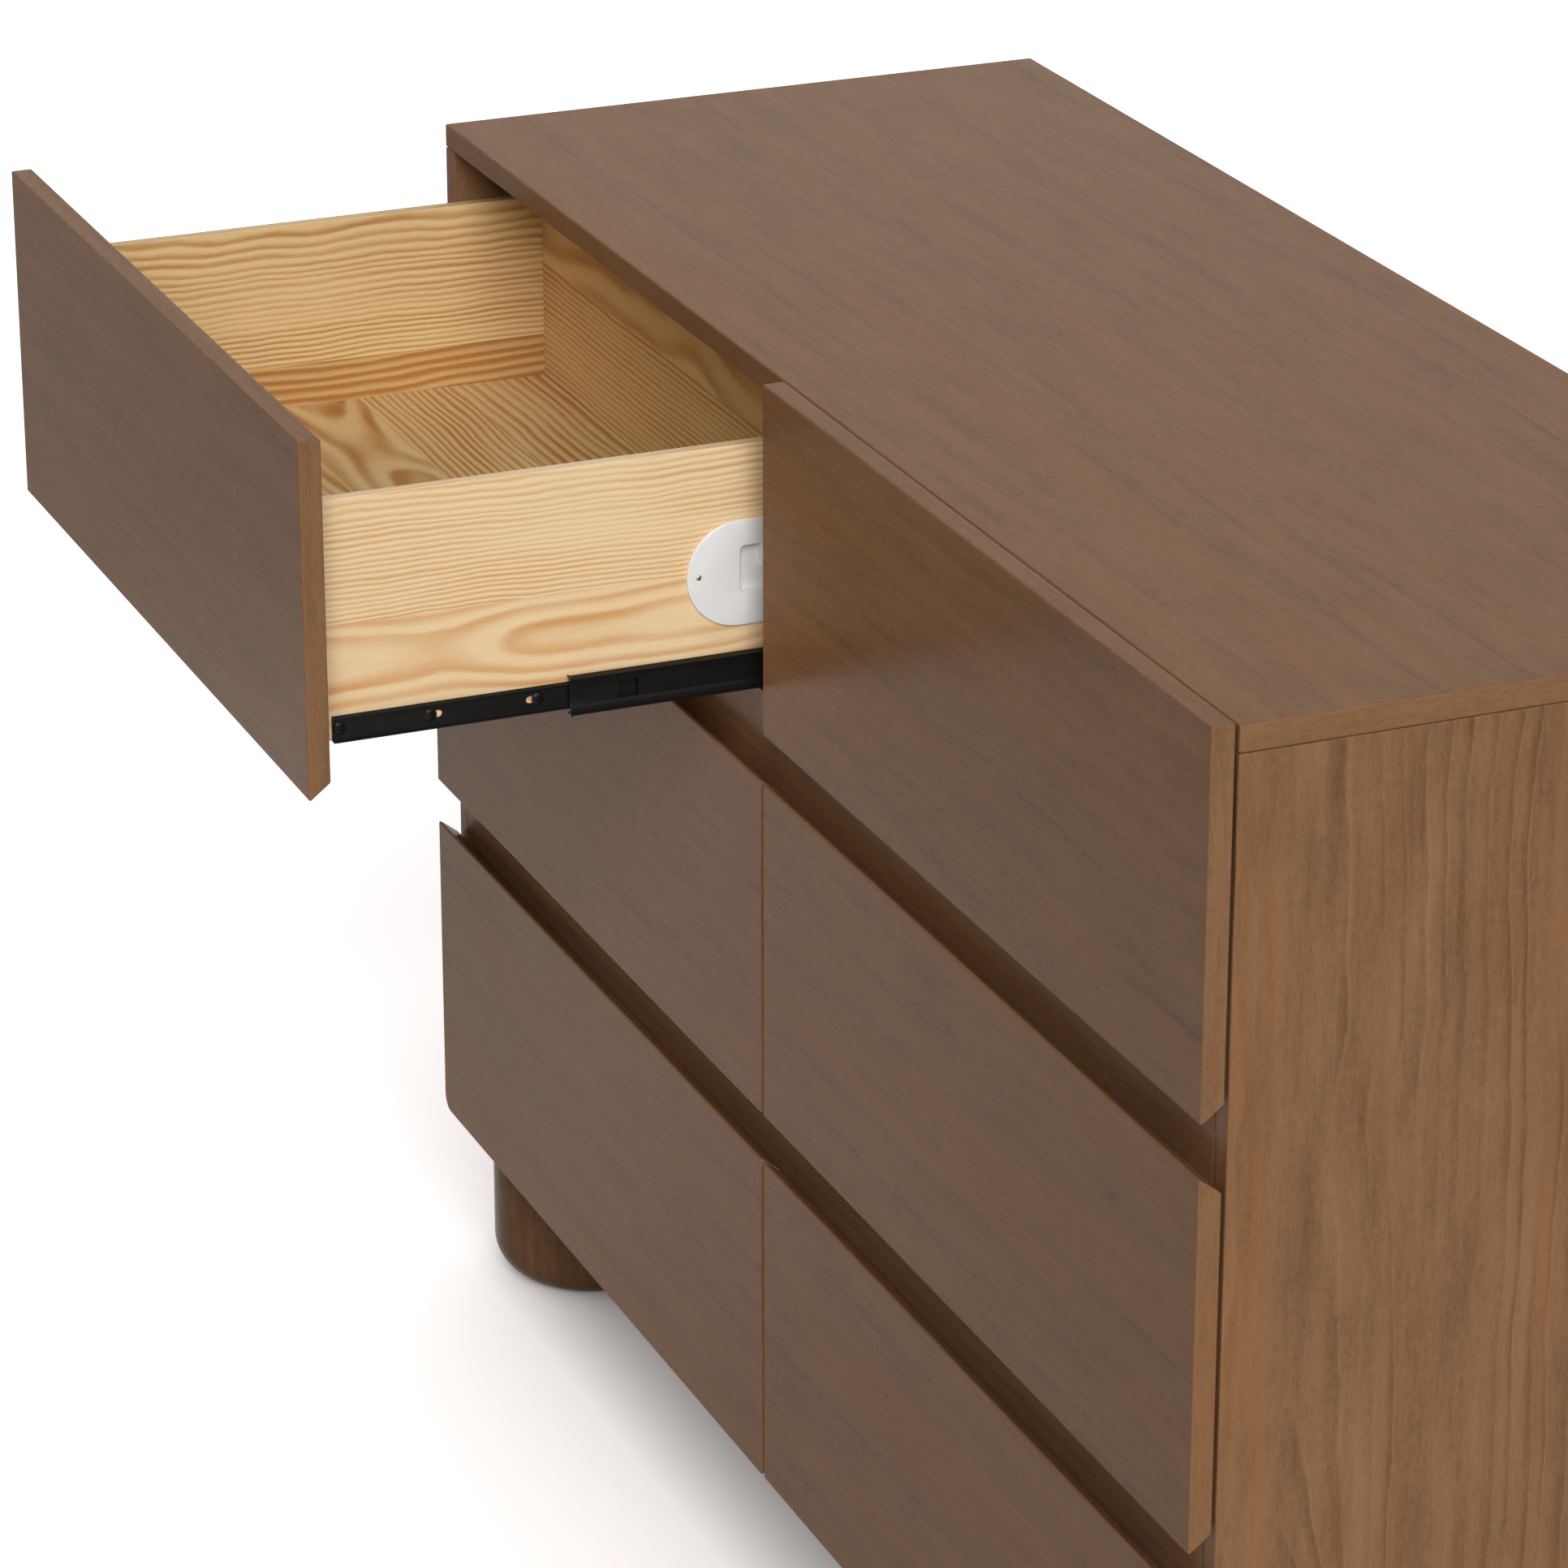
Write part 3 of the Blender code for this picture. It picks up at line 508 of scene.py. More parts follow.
class Nodes:
    """A node tree to which nodes are added one at a time. An input takes a value or an output."""

    def __init__(self, tree):
        self.tree = tree

    def feed(self, socket, value):
        if isinstance(value, bpy.types.NodeSocket):
            self.tree.links.new(value, socket)
        else:
            socket.default_value = value

    def node(self, kind, inputs=(), **settings):
        new = self.tree.nodes.new("ShaderNode" + kind)
        for setting, value in settings.items():
            setattr(new, setting, value)
        for socket, value in dict(inputs).items():
            self.feed(new.inputs[socket], value)
        return new

    def math(self, operation, *values):
        return self.node("Math", enumerate(values), operation=operation).outputs[0]

    def pair(self, along, across):
        return self.node("CombineXYZ", {0: along, 1: across}).outputs[0]

    def parts(self, vector):
        return self.node("SeparateXYZ", {0: vector}).outputs

    def place(self):
        return self.node("TexCoord").outputs["Object"]

    def noise(self, vector, along, across, detail=2.0, depth=1.0):
        """Noise about 0.5, at so many cells a metre along, across and in depth."""
        cells = self.node("Mapping", {"Vector": vector, "Scale": (along, across, depth)})
        inputs = {"Vector": cells.outputs[0], "Scale": 1.0, "Detail": detail}
        return self.node("TexNoise", inputs).outputs["Fac"]

    def swayed(self, value, noise, share):
        """The value, moved up and down by a share of a noise's way from its middle."""
        return self.math("MULTIPLY_ADD", self.math("SUBTRACT", noise, 0.5), share, value)

    def spread(self, value, low, high, to_low=0.0, to_high=1.0, **settings):
        """The value moved from one range to another, and held inside it."""
        inputs = {"Value": value, "From Min": low, "From Max": high,
                  "To Min": to_low, "To Max": to_high}
        return self.node("MapRange", inputs, **settings).outputs[0]

    def ease(self, value, start, end):
        """0 at the start and before it, 1 at the end and beyond, and a smooth step between."""
        ends = (start, end, 0.0, 1.0) if start < end else (end, start, 1.0, 0.0)
        return self.spread(value, *ends, interpolation_type="SMOOTHSTEP")

    def mix(self, factor, *colours):
        """Two colours mixed, each a tuple or an output."""
        first, second = [(*colour, 1) if isinstance(colour, tuple) else colour
                         for colour in colours]
        return self.node("Mix", {0: factor, 6: first, 7: second}, data_type="RGBA").outputs[2]

    def seen(self):
        """1 for rays that show a thing itself or in a gloss, and 0 for those that light pieces."""
        path = self.node("LightPath").outputs
        shown = self.math("MAXIMUM", path["Is Camera Ray"], path["Is Glossy Ray"])
        return self.math("MAXIMUM", shown, path["Is Transmission Ray"])


class Finish(Nodes):
    """A material, with the sockets of its own shader."""

    def __init__(self, name, roughness, metallic=0.0, specular=0.5):
        self.material = bpy.data.materials.new(name)
        self.material.use_nodes = True
        super().__init__(self.material.node_tree)
        self.shader = self.tree.nodes["Principled BSDF"]
        self.shade("Roughness", roughness)
        self.shade("Metallic", metallic)
        self.shade("Specular IOR Level", specular)

    def shade(self, socket, value):
        """Sets or feeds one of the shader's own sockets."""
        self.feed(self.shader.inputs[socket], value)

    def bump(self, height, distance, strength):
        inputs = {"Height": height, "Distance": distance, "Strength": strength}
        self.shade("Normal", self.node("Bump", inputs).outputs[0])

    def patches(self, noise, low, high, colours, roughnesses):
        """A colour and a roughness where the noise is low, and others where it is high."""
        self.shade("Base Color", self.mix(self.spread(noise, low, high), *colours))
        self.shade("Roughness", self.spread(noise, *NOISE_RANGE, *roughnesses))


def colour_of(name):
    """A colour from the settings, as a tuple."""
    return tuple(getattr(bpy.context.scene.dresser_colours, name))


def year_rings(finish, axis, stretch, waver, unequal):
    """Coordinates along and across the grain, and how far through its year a point lies.

    A piece has its own map and attributes. A kept solid has none: its grain runs along a named
    axis of Object coordinates, across is a sum of the other two, and its pith is KEPT_PITH.

    Years are counted by the distance from the pith, over the ring spacing. Noise, its cells a
    metre along the grain given by stretch, brings the pith nearer and takes it farther by up to
    RING_DRIFT rings, which draws cathedral figures where it runs close to the face. Finer noise
    makes the lines waver by a length, and noise of the count itself makes some years broader.
    """
    if axis is None:
        along, across, _ = finish.parts(finish.node("UVMap", uv_map="grain").outputs[0])
        pith = finish.node("Attribute", attribute_name="pith").outputs["Vector"]
        place, behind, spacing = finish.parts(pith)
    else:
        axes = list(finish.parts(finish.place()))
        along = axes.pop(axis)
        across = finish.math("MULTIPLY_ADD", axes[0], KEPT_SLANT, axes[1])
        place, behind, spacing = KEPT_PITH
    flat = finish.pair(along, across)
    slow = finish.noise(flat, stretch, 2.0)
    quick = finish.noise(flat, 5.0 * stretch, 9.0 * stretch)
    rings = finish.math("MULTIPLY", finish.math("SUBTRACT", slow, 0.5), RING_DRIFT)
    depth = finish.math("MULTIPLY_ADD", rings, spacing, behind)
    aside = finish.math("SUBTRACT", across, place)
    square = finish.math("MULTIPLY_ADD", aside, aside, finish.math("MULTIPLY", depth, depth))
    distance = finish.swayed(finish.math("SQRT", square), quick, waver)
    count = finish.math("DIVIDE", distance, spacing)
    years = finish.noise(finish.pair(count, 0.0), YEAR_CELLS, 1.0, detail=1.0)
    return flat, finish.math("FRACT", finish.math("MULTIPLY_ADD", years, unequal, count))


def walnut(name, axis=None, roughness=0.25, line_depth=0.11, figure=1.0, shade=0.0, warm=0.35):
    """Stained walnut veneer: fibres, flecks, dashes, broader streaks, mottling and year lines.

    A year line darkens slowly, ends sharply and has a pale rim beyond. line_depth is how dark the
    lines are, figure scales the streaks and mottling, shade darkens all, which on the legs is
    painted shade, and warm is how far the redder parts go.
    """
    finish = Finish(name, roughness, specular=0.025)
    flat, phase = year_rings(finish, axis, stretch=1.1, waver=0.022, unequal=1.6)
    line = finish.math("MULTIPLY", finish.ease(phase, 0.45, 0.90), finish.ease(phase, 1.0, 0.93))
    line = finish.math("MULTIPLY_ADD", finish.ease(phase, 0.14, 0.0), -0.6, line)
    strength = finish.spread(finish.noise(flat, 2.2, 45.0), 0.38, 0.68, 0.10, 1.0)
    marked = finish.math("MULTIPLY", line, strength)
    streaks = finish.noise(flat, 2.0, 70.0, detail=5.0)
    fibres = finish.noise(flat, 35.0, 1100.0)
    flecks = finish.noise(flat, 180.0, 420.0, detail=1.0)
    dashes = finish.noise(flat, 60.0, 170.0)
    mottle = finish.noise(flat, 9.0, 38.0, detail=3.0)
    tone = 0.5 - shade
    for noise, share in ((streaks, 0.45 * figure), (fibres, 0.35), (flecks, 0.42),
                         (dashes, 0.30), (mottle, 0.50 * figure)):
        tone = finish.swayed(tone, noise, share)
    tone = finish.math("SUBTRACT", tone, finish.math("MULTIPLY", marked, line_depth))
    colour = finish.mix(finish.spread(tone, 0.0, 0.5), colour_of("walnut_dark"),
                        colour_of("walnut"))
    colour = finish.mix(finish.spread(tone, 0.5, 1.0), colour, colour_of("walnut_light"))
    warmth = finish.spread(finish.noise(flat, 1.3, 26.0, detail=3.0), 0.45, 0.72, 0.0, warm)
    finish.shade("Base Color", finish.mix(warmth, colour, colour_of("walnut_warm")))
    finish.shade("Roughness", finish.spread(streaks, *NOISE_RANGE, roughness - 0.04,
                                            roughness + 0.04))
    finish.bump(finish.math("SUBTRACT", fibres, marked), 0.00003, 0.5)
    return finish.material


def pine(name):
    """Lacquered pine: rings that darken slowly and pale faster, fibres, flecks and blotches."""
    # The second finish is the darker copy, for the boards deeper in a drawer: painted shade.
    colours = {"pale_pine": ("pine", "pine_ring"), "deep_pine": ("inner_pine", "inner_pine_ring")}
    soft, hard = [colour_of(colour) for colour in colours[name]]
    finish = Finish(name, 0.5, specular=0.3)
    flat, phase = year_rings(finish, None, stretch=2.6, waver=0.0050, unequal=1.2)
    late = finish.math("MULTIPLY", finish.ease(phase, 0.15, 0.70), finish.ease(phase, 1.0, 0.72))
    patch = finish.spread(finish.noise(flat, 4.0, 40.0), 0.35, 0.65, 0.40, 0.90)
    # The stave's tone darkens its rings. On the deeper boards it also carries painted shade.
    tone = finish.node("Attribute", attribute_name="tone").outputs["Fac"]
    amount = finish.math("MULTIPLY_ADD", late, patch, tone)
    fibres = finish.noise(flat, 30.0, 1300.0)
    flecks = finish.noise(flat, 160.0, 1100.0)
    blotch = finish.noise(flat, 4.0, 14.0)
    for noise, share in ((fibres, 0.45), (flecks, 0.30), (blotch, 0.5)):
        amount = finish.swayed(amount, noise, share)
    finish.shade("Base Color", finish.mix(finish.spread(amount, 0.0, 1.0), soft, hard))
    finish.shade("Roughness", finish.spread(late, 0.0, 1.0, 0.52, 0.42))
    finish.bump(finish.math("MULTIPLY_ADD", fibres, 0.5, late), 0.00002, 0.5)
    return finish.material


def coated_steel(name):
    """Black coating on sheet steel: a fine orange-peel relief, and rubbed, glossier patches."""
    finish = Finish(name, 0.32, specular=0.16)
    place = finish.place()
    rubbed = finish.noise(place, 40.0, 14.0, detail=4.0, depth=90.0)
    steel = colour_of("steel")
    worn = tuple(channel * 1.4 + 0.001 for channel in steel)
    finish.patches(rubbed, 0.4, 0.7, (steel, worn), (0.40, 0.30))
    finish.bump(finish.noise(place, 2600.0, 2600.0, detail=1.0, depth=2600.0), 0.00002, 0.4)
    return finish.material


def bare_steel(name):
    """Bright zinc on steel, brushed by faint scratches."""
    finish = Finish(name, 0.3, metallic=1.0)
    scratch = finish.noise(finish.place(), 900.0, 4000.0, detail=3.0, depth=900.0)
    steel = colour_of("bare_steel")
    dull = tuple(channel * 0.8 for channel in steel)
    finish.patches(scratch, 0.35, 0.65, (steel, dull), (0.24, 0.36))
    return finish.material


def moulded_plastic(name):
    """White moulded plastic: an even satin grain, and a trace of flow across the face."""
    finish = Finish(name, 0.34)
    place = finish.place()
    plastic = colour_of("plastic")
    shaded = tuple(channel * 0.96 for channel in plastic)
    flow = finish.noise(place, 30.0, 30.0, depth=30.0)
    finish.patches(flow, 0.35, 0.65, (plastic, shaded), (0.30, 0.38))
    finish.bump(finish.noise(place, 1900.0, 1900.0, depth=1900.0), 0.00002, 0.35)
    return finish.material


def finish_for(maker, name=None, **settings):
    """A finish, made once under its own name or under its maker's."""
    name = name or maker.__name__
    if name not in FINISHES:
        FINISHES[name] = maker(name, **settings)
    return FINISHES[name]


# Outlines and pieces that are made more than once

def bay_wall(column, hand):
    """X of the wall that a drawer's case runner is on."""
    if column == hand:
        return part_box(f"{column}_side_panel")[hand == "left"].x
    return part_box("divider")[hand == "left"].x


def channel_outline(half, reach, groove, groove_at):
    """A channel with a ball groove in each lip.

    The centre line of the upper lip and its bend is mirrored for the lower one. The groove is as
    deep as the square of a cosine.
    """
    middle = half - SHEET / 2
    web = SEAT + SHEET / 2
    x = np.linspace(reach, web + CHANNEL_BEND, LIP_STEPS)
    off = np.clip((x - groove_at) / GROOVE_WIDTH, -1, 1)
    lip = np.stack([x, middle + groove * np.cos(off * math.pi / 2) ** 2], axis=-1)
    turn = np.linspace(0, math.pi / 2, BEND_STEPS)[1:]
    round_bend = CHANNEL_BEND * np.stack([1 - np.sin(turn), np.cos(turn) - 1], axis=-1)
    upper = np.concatenate([lip, round_bend + (web, middle)])
    return ribbon(np.concatenate([upper, upper[::-1] * (1, -1)]), SHEET)


def middle_outline():
    """The middle member: a web with a recessed middle, and lips both ways that hold the balls.

    Each lip dips where the case's balls run outside it and rises where the drawer's balls run
    inside it, by a bell curve.
    """
    def lip(start, end, steps, side):
        x = np.linspace(start, end, steps)
        bells = [np.exp(-((x - middle) / LIP_DENT_WIDTH) ** 2)
                 for middle in (DRAWER_BALLS[0], CASE_BALLS[0])]
        height = MIDDLE_HALF - SHEET / 2 + LIP_DENT * (bells[0] - bells[1])
        return np.stack([x, height + side * SHEET / 2], axis=-1)

    steps = MIDDLE_LIP_STEPS
    web = np.stack([MIDDLE_WEB + MIDDLE_EMBOSS * np.array([0, 0, 1, 1]), EMBOSS_EDGES], axis=-1)
    upper = np.concatenate([
        web[::-1],
        lip(MIDDLE_WEB - MIDDLE_FILLET, MIDDLE_BACK, steps[0], -1),
        lip(MIDDLE_BACK, MIDDLE_FRONT, steps[1], 1),
        lip(MIDDLE_FRONT, MIDDLE_WEB + SHEET + MIDDLE_FILLET, steps[2], -1),
        web + (SHEET, 0)])
    return np.concatenate([upper, upper[-2:0:-1] * (1, -1)])


def screw_head(radius, height, recess):
    """A pan head with a cross recess, its axis along X.

    A square grid is drawn out to a disc by x = u sqrt(1 - v^2 / 2) and its like. The crown falls
    away with the fourth power of the radius, and the recess is sunk where one of u and v is
    inside the cross's arm and the other inside its length.
    """
    u, v = np.meshgrid(HEAD_GRID, HEAD_GRID, indexing="ij")
    y = u * np.sqrt(1 - v ** 2 / 2)
    z = v * np.sqrt(1 - u ** 2 / 2)
    inner, outer = np.minimum(np.abs(u), np.abs(v)), np.maximum(np.abs(u), np.abs(v))
    crown = height * (1 - CROWN_FALL * (y ** 2 + z ** 2) ** 2)
    crown -= recess * ((inner < CROSS_ARM) & (outer < CROSS_LENGTH))
    face = np.stack([crown, y * radius, z * radius], axis=-1).reshape(-1, 3)
    count = len(HEAD_GRID)
    here = np.arange(count * count).reshape(count, count)
    quads = np.stack([here[:-1, :-1], here[1:, :-1], here[1:, 1:], here[:-1, 1:]], axis=-1)
    rim = np.concatenate([here[:-1, 0], here[-1, :-1], here[:0:-1, -1], here[0, :0:-1]])
    foot = face[rim] * (0, 1, 1) - (SEAT, 0, 0)
    below = len(face) + np.arange(len(rim))
    skirt = np.stack([rim, np.roll(rim, -1), np.roll(below, -1), below], axis=-1)
    return Surface(np.concatenate([face, foot]),
                   np.concatenate([quads.ravel(), skirt.ravel(), below]),
                   [4] * ((count - 1) ** 2 + len(rim)) + [len(rim)])


def plate_surface(half_length, half_height, thickness):
    """An interlock plate and its cup as one moulding, facing +X.

    Rounded rectangles run up the cup's outside, out across the back, round the rim, in over the
    face, round the window's edge and down the cup's inside. Each is its half length, half height,
    corner radius, depth and rise. The plate's own ends are half circles.
    """
    rim_round = bpy.context.scene.dresser_sizes.plate_round
    turn = np.linspace(0, math.pi / 2, ARC_STEPS)[:, None]
    cup = np.array([*CUP_HALF, CUP_CORNER, 0, CUP_RISE])
    plate = np.array([half_length, half_height, half_height, 0, 0])
    sideways, deep = np.array([1, 1, 1, 0, 0]), np.array([0, 0, 0, 1, 0])
    floor = (thickness - CUP_DEPTH) * deep
    outside = cup + CUP_WALL * sideways
    rim = (plate - rim_round * (1 - np.cos(turn)) * sideways
           + (thickness - rim_round * (1 - np.sin(turn))) * deep)
    window = (cup + WINDOW_ROUND * (1 - np.sin(turn)) * sideways
              + (thickness - WINDOW_ROUND * (1 - np.cos(turn))) * deep)
    fillet = CUP_FILLET * np.array([-1, -1, 0, 0, 0])
    half_y, half_z, radius, depth, rise = np.stack([
        outside + floor - CUP_WALL * deep, outside, plate, *rim, *window,
        cup + floor + fillet + CUP_FILLET * deep, cup + floor + 2 * fillet]).T
    low = np.stack([-half_y, rise - half_z], axis=-1)
    high = np.stack([half_y, rise + half_z], axis=-1)
    radii = np.repeat(radius[:, None], 4, axis=1)
    outlines = rounded_rectangles(low, high, radii, PLATE_STEPS)
    points = np.empty(outlines.shape[:2] + (3,))
    points[..., 0] = depth[:, None]
    points[..., 1:] = outlines
    return lofted(points)


def cam_surface(thickness):
    """The cam in the cup's upper rear part, an outline that draws in towards the face."""
    start, end = CAM_START - CUP_HALF[0], CUP_HALF[0]
    high, low = CUP_RISE + CUP_HALF[1], CUP_RISE - CAM_SLOPE
    outline = np.array([(start, high), (start, CUP_RISE), (start + CAM_SLOPE, low),
                        (end, low), (end, high)])
    inwards = np.array([(1, 0), (1, 0.4), (0.4, 1), (0, 1), (0, 0)])
    points = np.empty((len(CAM_DRAWS), len(outline), 3))
    points[..., 0] = thickness - np.array(CAM_DEPTHS)[:, None]
    points[..., 1:] = outline + np.array(CAM_DRAWS)[:, None, None] * inwards
    return lofted(points)


def plate_size():
    """An interlock plate's half length, half height and thickness."""
    low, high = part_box("top_left_interlock_plate")
    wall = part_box("top_left_drawer_box")[1].x
    return (high.y - low.y) / 2, (high.z - low.z) / 2, high.x - wall - SEAT


def plate_place(drawer):
    """Where the back of a drawer's interlock plate has its middle, and 1 or -1 as it faces."""
    low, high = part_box("top_left_interlock_plate")
    off = (low + high) / 2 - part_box("top_left_drawer_box")[0]
    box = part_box(f"{drawer}_drawer_box")
    out = -SIGN[drawer.split("_")[1]]
    return (box[out > 0].x + out * SEAT, box[0].y + off.y, box[0].z + off.z), out


def plate_screw_places():
    """How far the two screws of a plate are from its middle, along it."""
    return [end * (plate_size()[0] - PLATE_SCREW_INSET) for end in (-1, 1)]


def member_length(member):
    """Length of a runner's case, middle or drawer member."""
    low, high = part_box(f"top_left_{member}_runner_left")
    return high.y - low.y


def runner_pieces(surfaces, made, finish, sharp, replaced=True):
    """A piece on each runner for each member's surface, set on the wall that the member is on."""
    for (drawer, hand), (member, surface) in itertools.product(RUNNERS, surfaces.items()):
        node = f"{drawer}_{member}_runner_{hand}"
        low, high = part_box(node)
        body, way, wall = "case", -SIGN[hand], bay_wall(drawer.split("_")[1], hand)
        if member == "middle":
            body = f"{drawer}_middle_runners"
        if member == "drawer":
            body, way = f"{drawer}_drawer", SIGN[hand]
            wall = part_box(f"{drawer}_drawer_box")[hand == "right"].x
        placed = surface.turned_to(way).moved(wall, low.y, (low.z + high.z) / 2)
        piece(f"{drawer}_{made.format(member)}_{hand}", placed, finish_for(finish), body,
              [node] if replaced else (), sharp=sharp)


def bottom_corner(column):
    """Corner radii of an upright board whose lower outer corner is the case's."""
    return (0, 0, CASE_CORNER, 0) if column == "left" else (0, 0, 0, CASE_CORNER)


class DRESSER_OT_top(bpy.types.Operator):
    """Top panel, its grain along the width"""
    bl_idname = "dresser.top"
    bl_label = "Top panel"

    STAVE = (0.08, 0.06, 0.017, 0.0, 0.0)

    def execute(self, context):
        surface = board(*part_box("top_panel"), 2, context.scene.dresser_sizes.case_arris)
        piece("top_board", surface, finish_for(walnut, "walnut_veneer"), "case",
              ["top_panel"], grain=0, staves=[self.STAVE])
        return {"FINISHED"}


class DRESSER_OT_sides(bpy.types.Operator):
    """Side panels with upright grain, their lower outer edges rounded"""
    bl_idname = "dresser.sides"
    bl_label = "Side panels"

    STAVE = (-0.21, 0.05, 0.013, 0.0)
    RUNS = {"left": 3.1, "right": 4.8}

    def execute(self, context):
        finish = finish_for(walnut, "walnut_side_veneer", line_depth=0.30, figure=1.5)
        for column in COLUMNS:
            node = f"{column}_side_panel"
            surface = board(*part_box(node), 1, context.scene.dresser_sizes.case_arris,
                            bottom_corner(column))
            piece(f"{column}_side_board", surface, finish, "case", [node],
                  grain=2, staves=[(*self.STAVE, self.RUNS[column])])
        return {"FINISHED"}


class DRESSER_OT_inner_case(bpy.types.Operator):
    """Finishes of the kept solids: base, back, divider, and the frame behind the finger gaps"""
    bl_idname = "dresser.inner_case"
    bl_label = "Base, back, divider and front frame"

    KEPT = {
        "base_panel": ("walnut_base", {"axis": 0, "shade": 0.06}),
        "back_panel": ("walnut_back", {"axis": 0, "roughness": 0.5, "shade": 0.10}),
        "divider": ("walnut_divider", {"axis": 2}),
        "front_frame": ("walnut_frame", {"axis": 0, "shade": 0.05}),
    }

    def execute(self, context):
        for node, (name, settings) in self.KEPT.items():
            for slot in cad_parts[node].material_slots:
                slot.material = finish_for(walnut, name, **settings)
        return {"FINISHED"}


class DRESSER_OT_legs(bpy.types.Operator):
    """Turned legs with a wide round foot"""
    bl_idname = "dresser.legs"
    bl_label = "Legs"

    def execute(self, context):
        foot = context.scene.dresser_sizes.foot_round
        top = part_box("base_panel")[0].z - SEAT
        # The legs' darker, less red walnut is painted shade, since they stand under the case.
        finish = finish_for(walnut, "walnut_leg", axis=2, shade=0.45, warm=0.08)
        turn = np.linspace(0, math.pi / 2, FOOT_STEPS)
        arris = LEG_ARRIS * np.stack([np.sin(turn[::4]), np.cos(turn[::4])], axis=-1)
        rounding = foot * np.stack([np.cos(turn), -np.sin(turn)], axis=-1)
        for leg in [f"{end}_{column}_leg" for end in ("front", "rear") for column in COLUMNS]:
            low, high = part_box(leg)
            middle, radius = (low + high) / 2, (high.x - low.x) / 2
            profile = np.concatenate([(radius - LEG_ARRIS, top - LEG_ARRIS) + arris,
                                      (radius - foot, foot) + rounding])
            piece(f"{leg}_turned", turned(profile, LEG_SIDES).moved(middle.x, middle.y), finish,
                  "case", [leg], sharp=50)
        return {"FINISHED"}


class DRESSER_OT_fronts(bpy.types.Operator):
    """Drawer fronts with sloped finger edges, their grain along the width"""
    bl_idname = "dresser.fronts"
    bl_label = "Drawer fronts"

    # Where each front's pith lies across its board, from its middle
    PITHS = (0.19, -0.17, 0.05, -0.21, -0.06, 0.16)
    STAVE = (0.06, 0.014, 0.0)
    RUN, RUN_STEP = 7.3, 2.3

    def execute(self, context):
        arris = context.scene.dresser_sizes.front_arris
        for number, drawer in enumerate(DRAWERS):
            row, column = drawer.split("_")
            low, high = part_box(f"{drawer}_drawer_front")
            slope = FINGER_RISE / (high.y - low.y)
            taken = arris * (slope + math.hypot(1, slope) - 1)
            low.z -= taken
            if row != "top":
                high.z += taken
            rises = (FINGER_RISE, 0 if row == "top" else FINGER_RISE)
            corners = bottom_corner(column) if row == "bottom" else None
            stave = (self.PITHS[number], *self.STAVE, self.RUN + self.RUN_STEP * number)
            piece(f"{drawer}_front_board", board(low, high, 1, arris, corners, rises),
                  finish_for(walnut, "walnut_veneer"), f"{drawer}_drawer",
                  [f"{drawer}_drawer_front"], grain=0, staves=[stave])
        return {"FINISHED"}


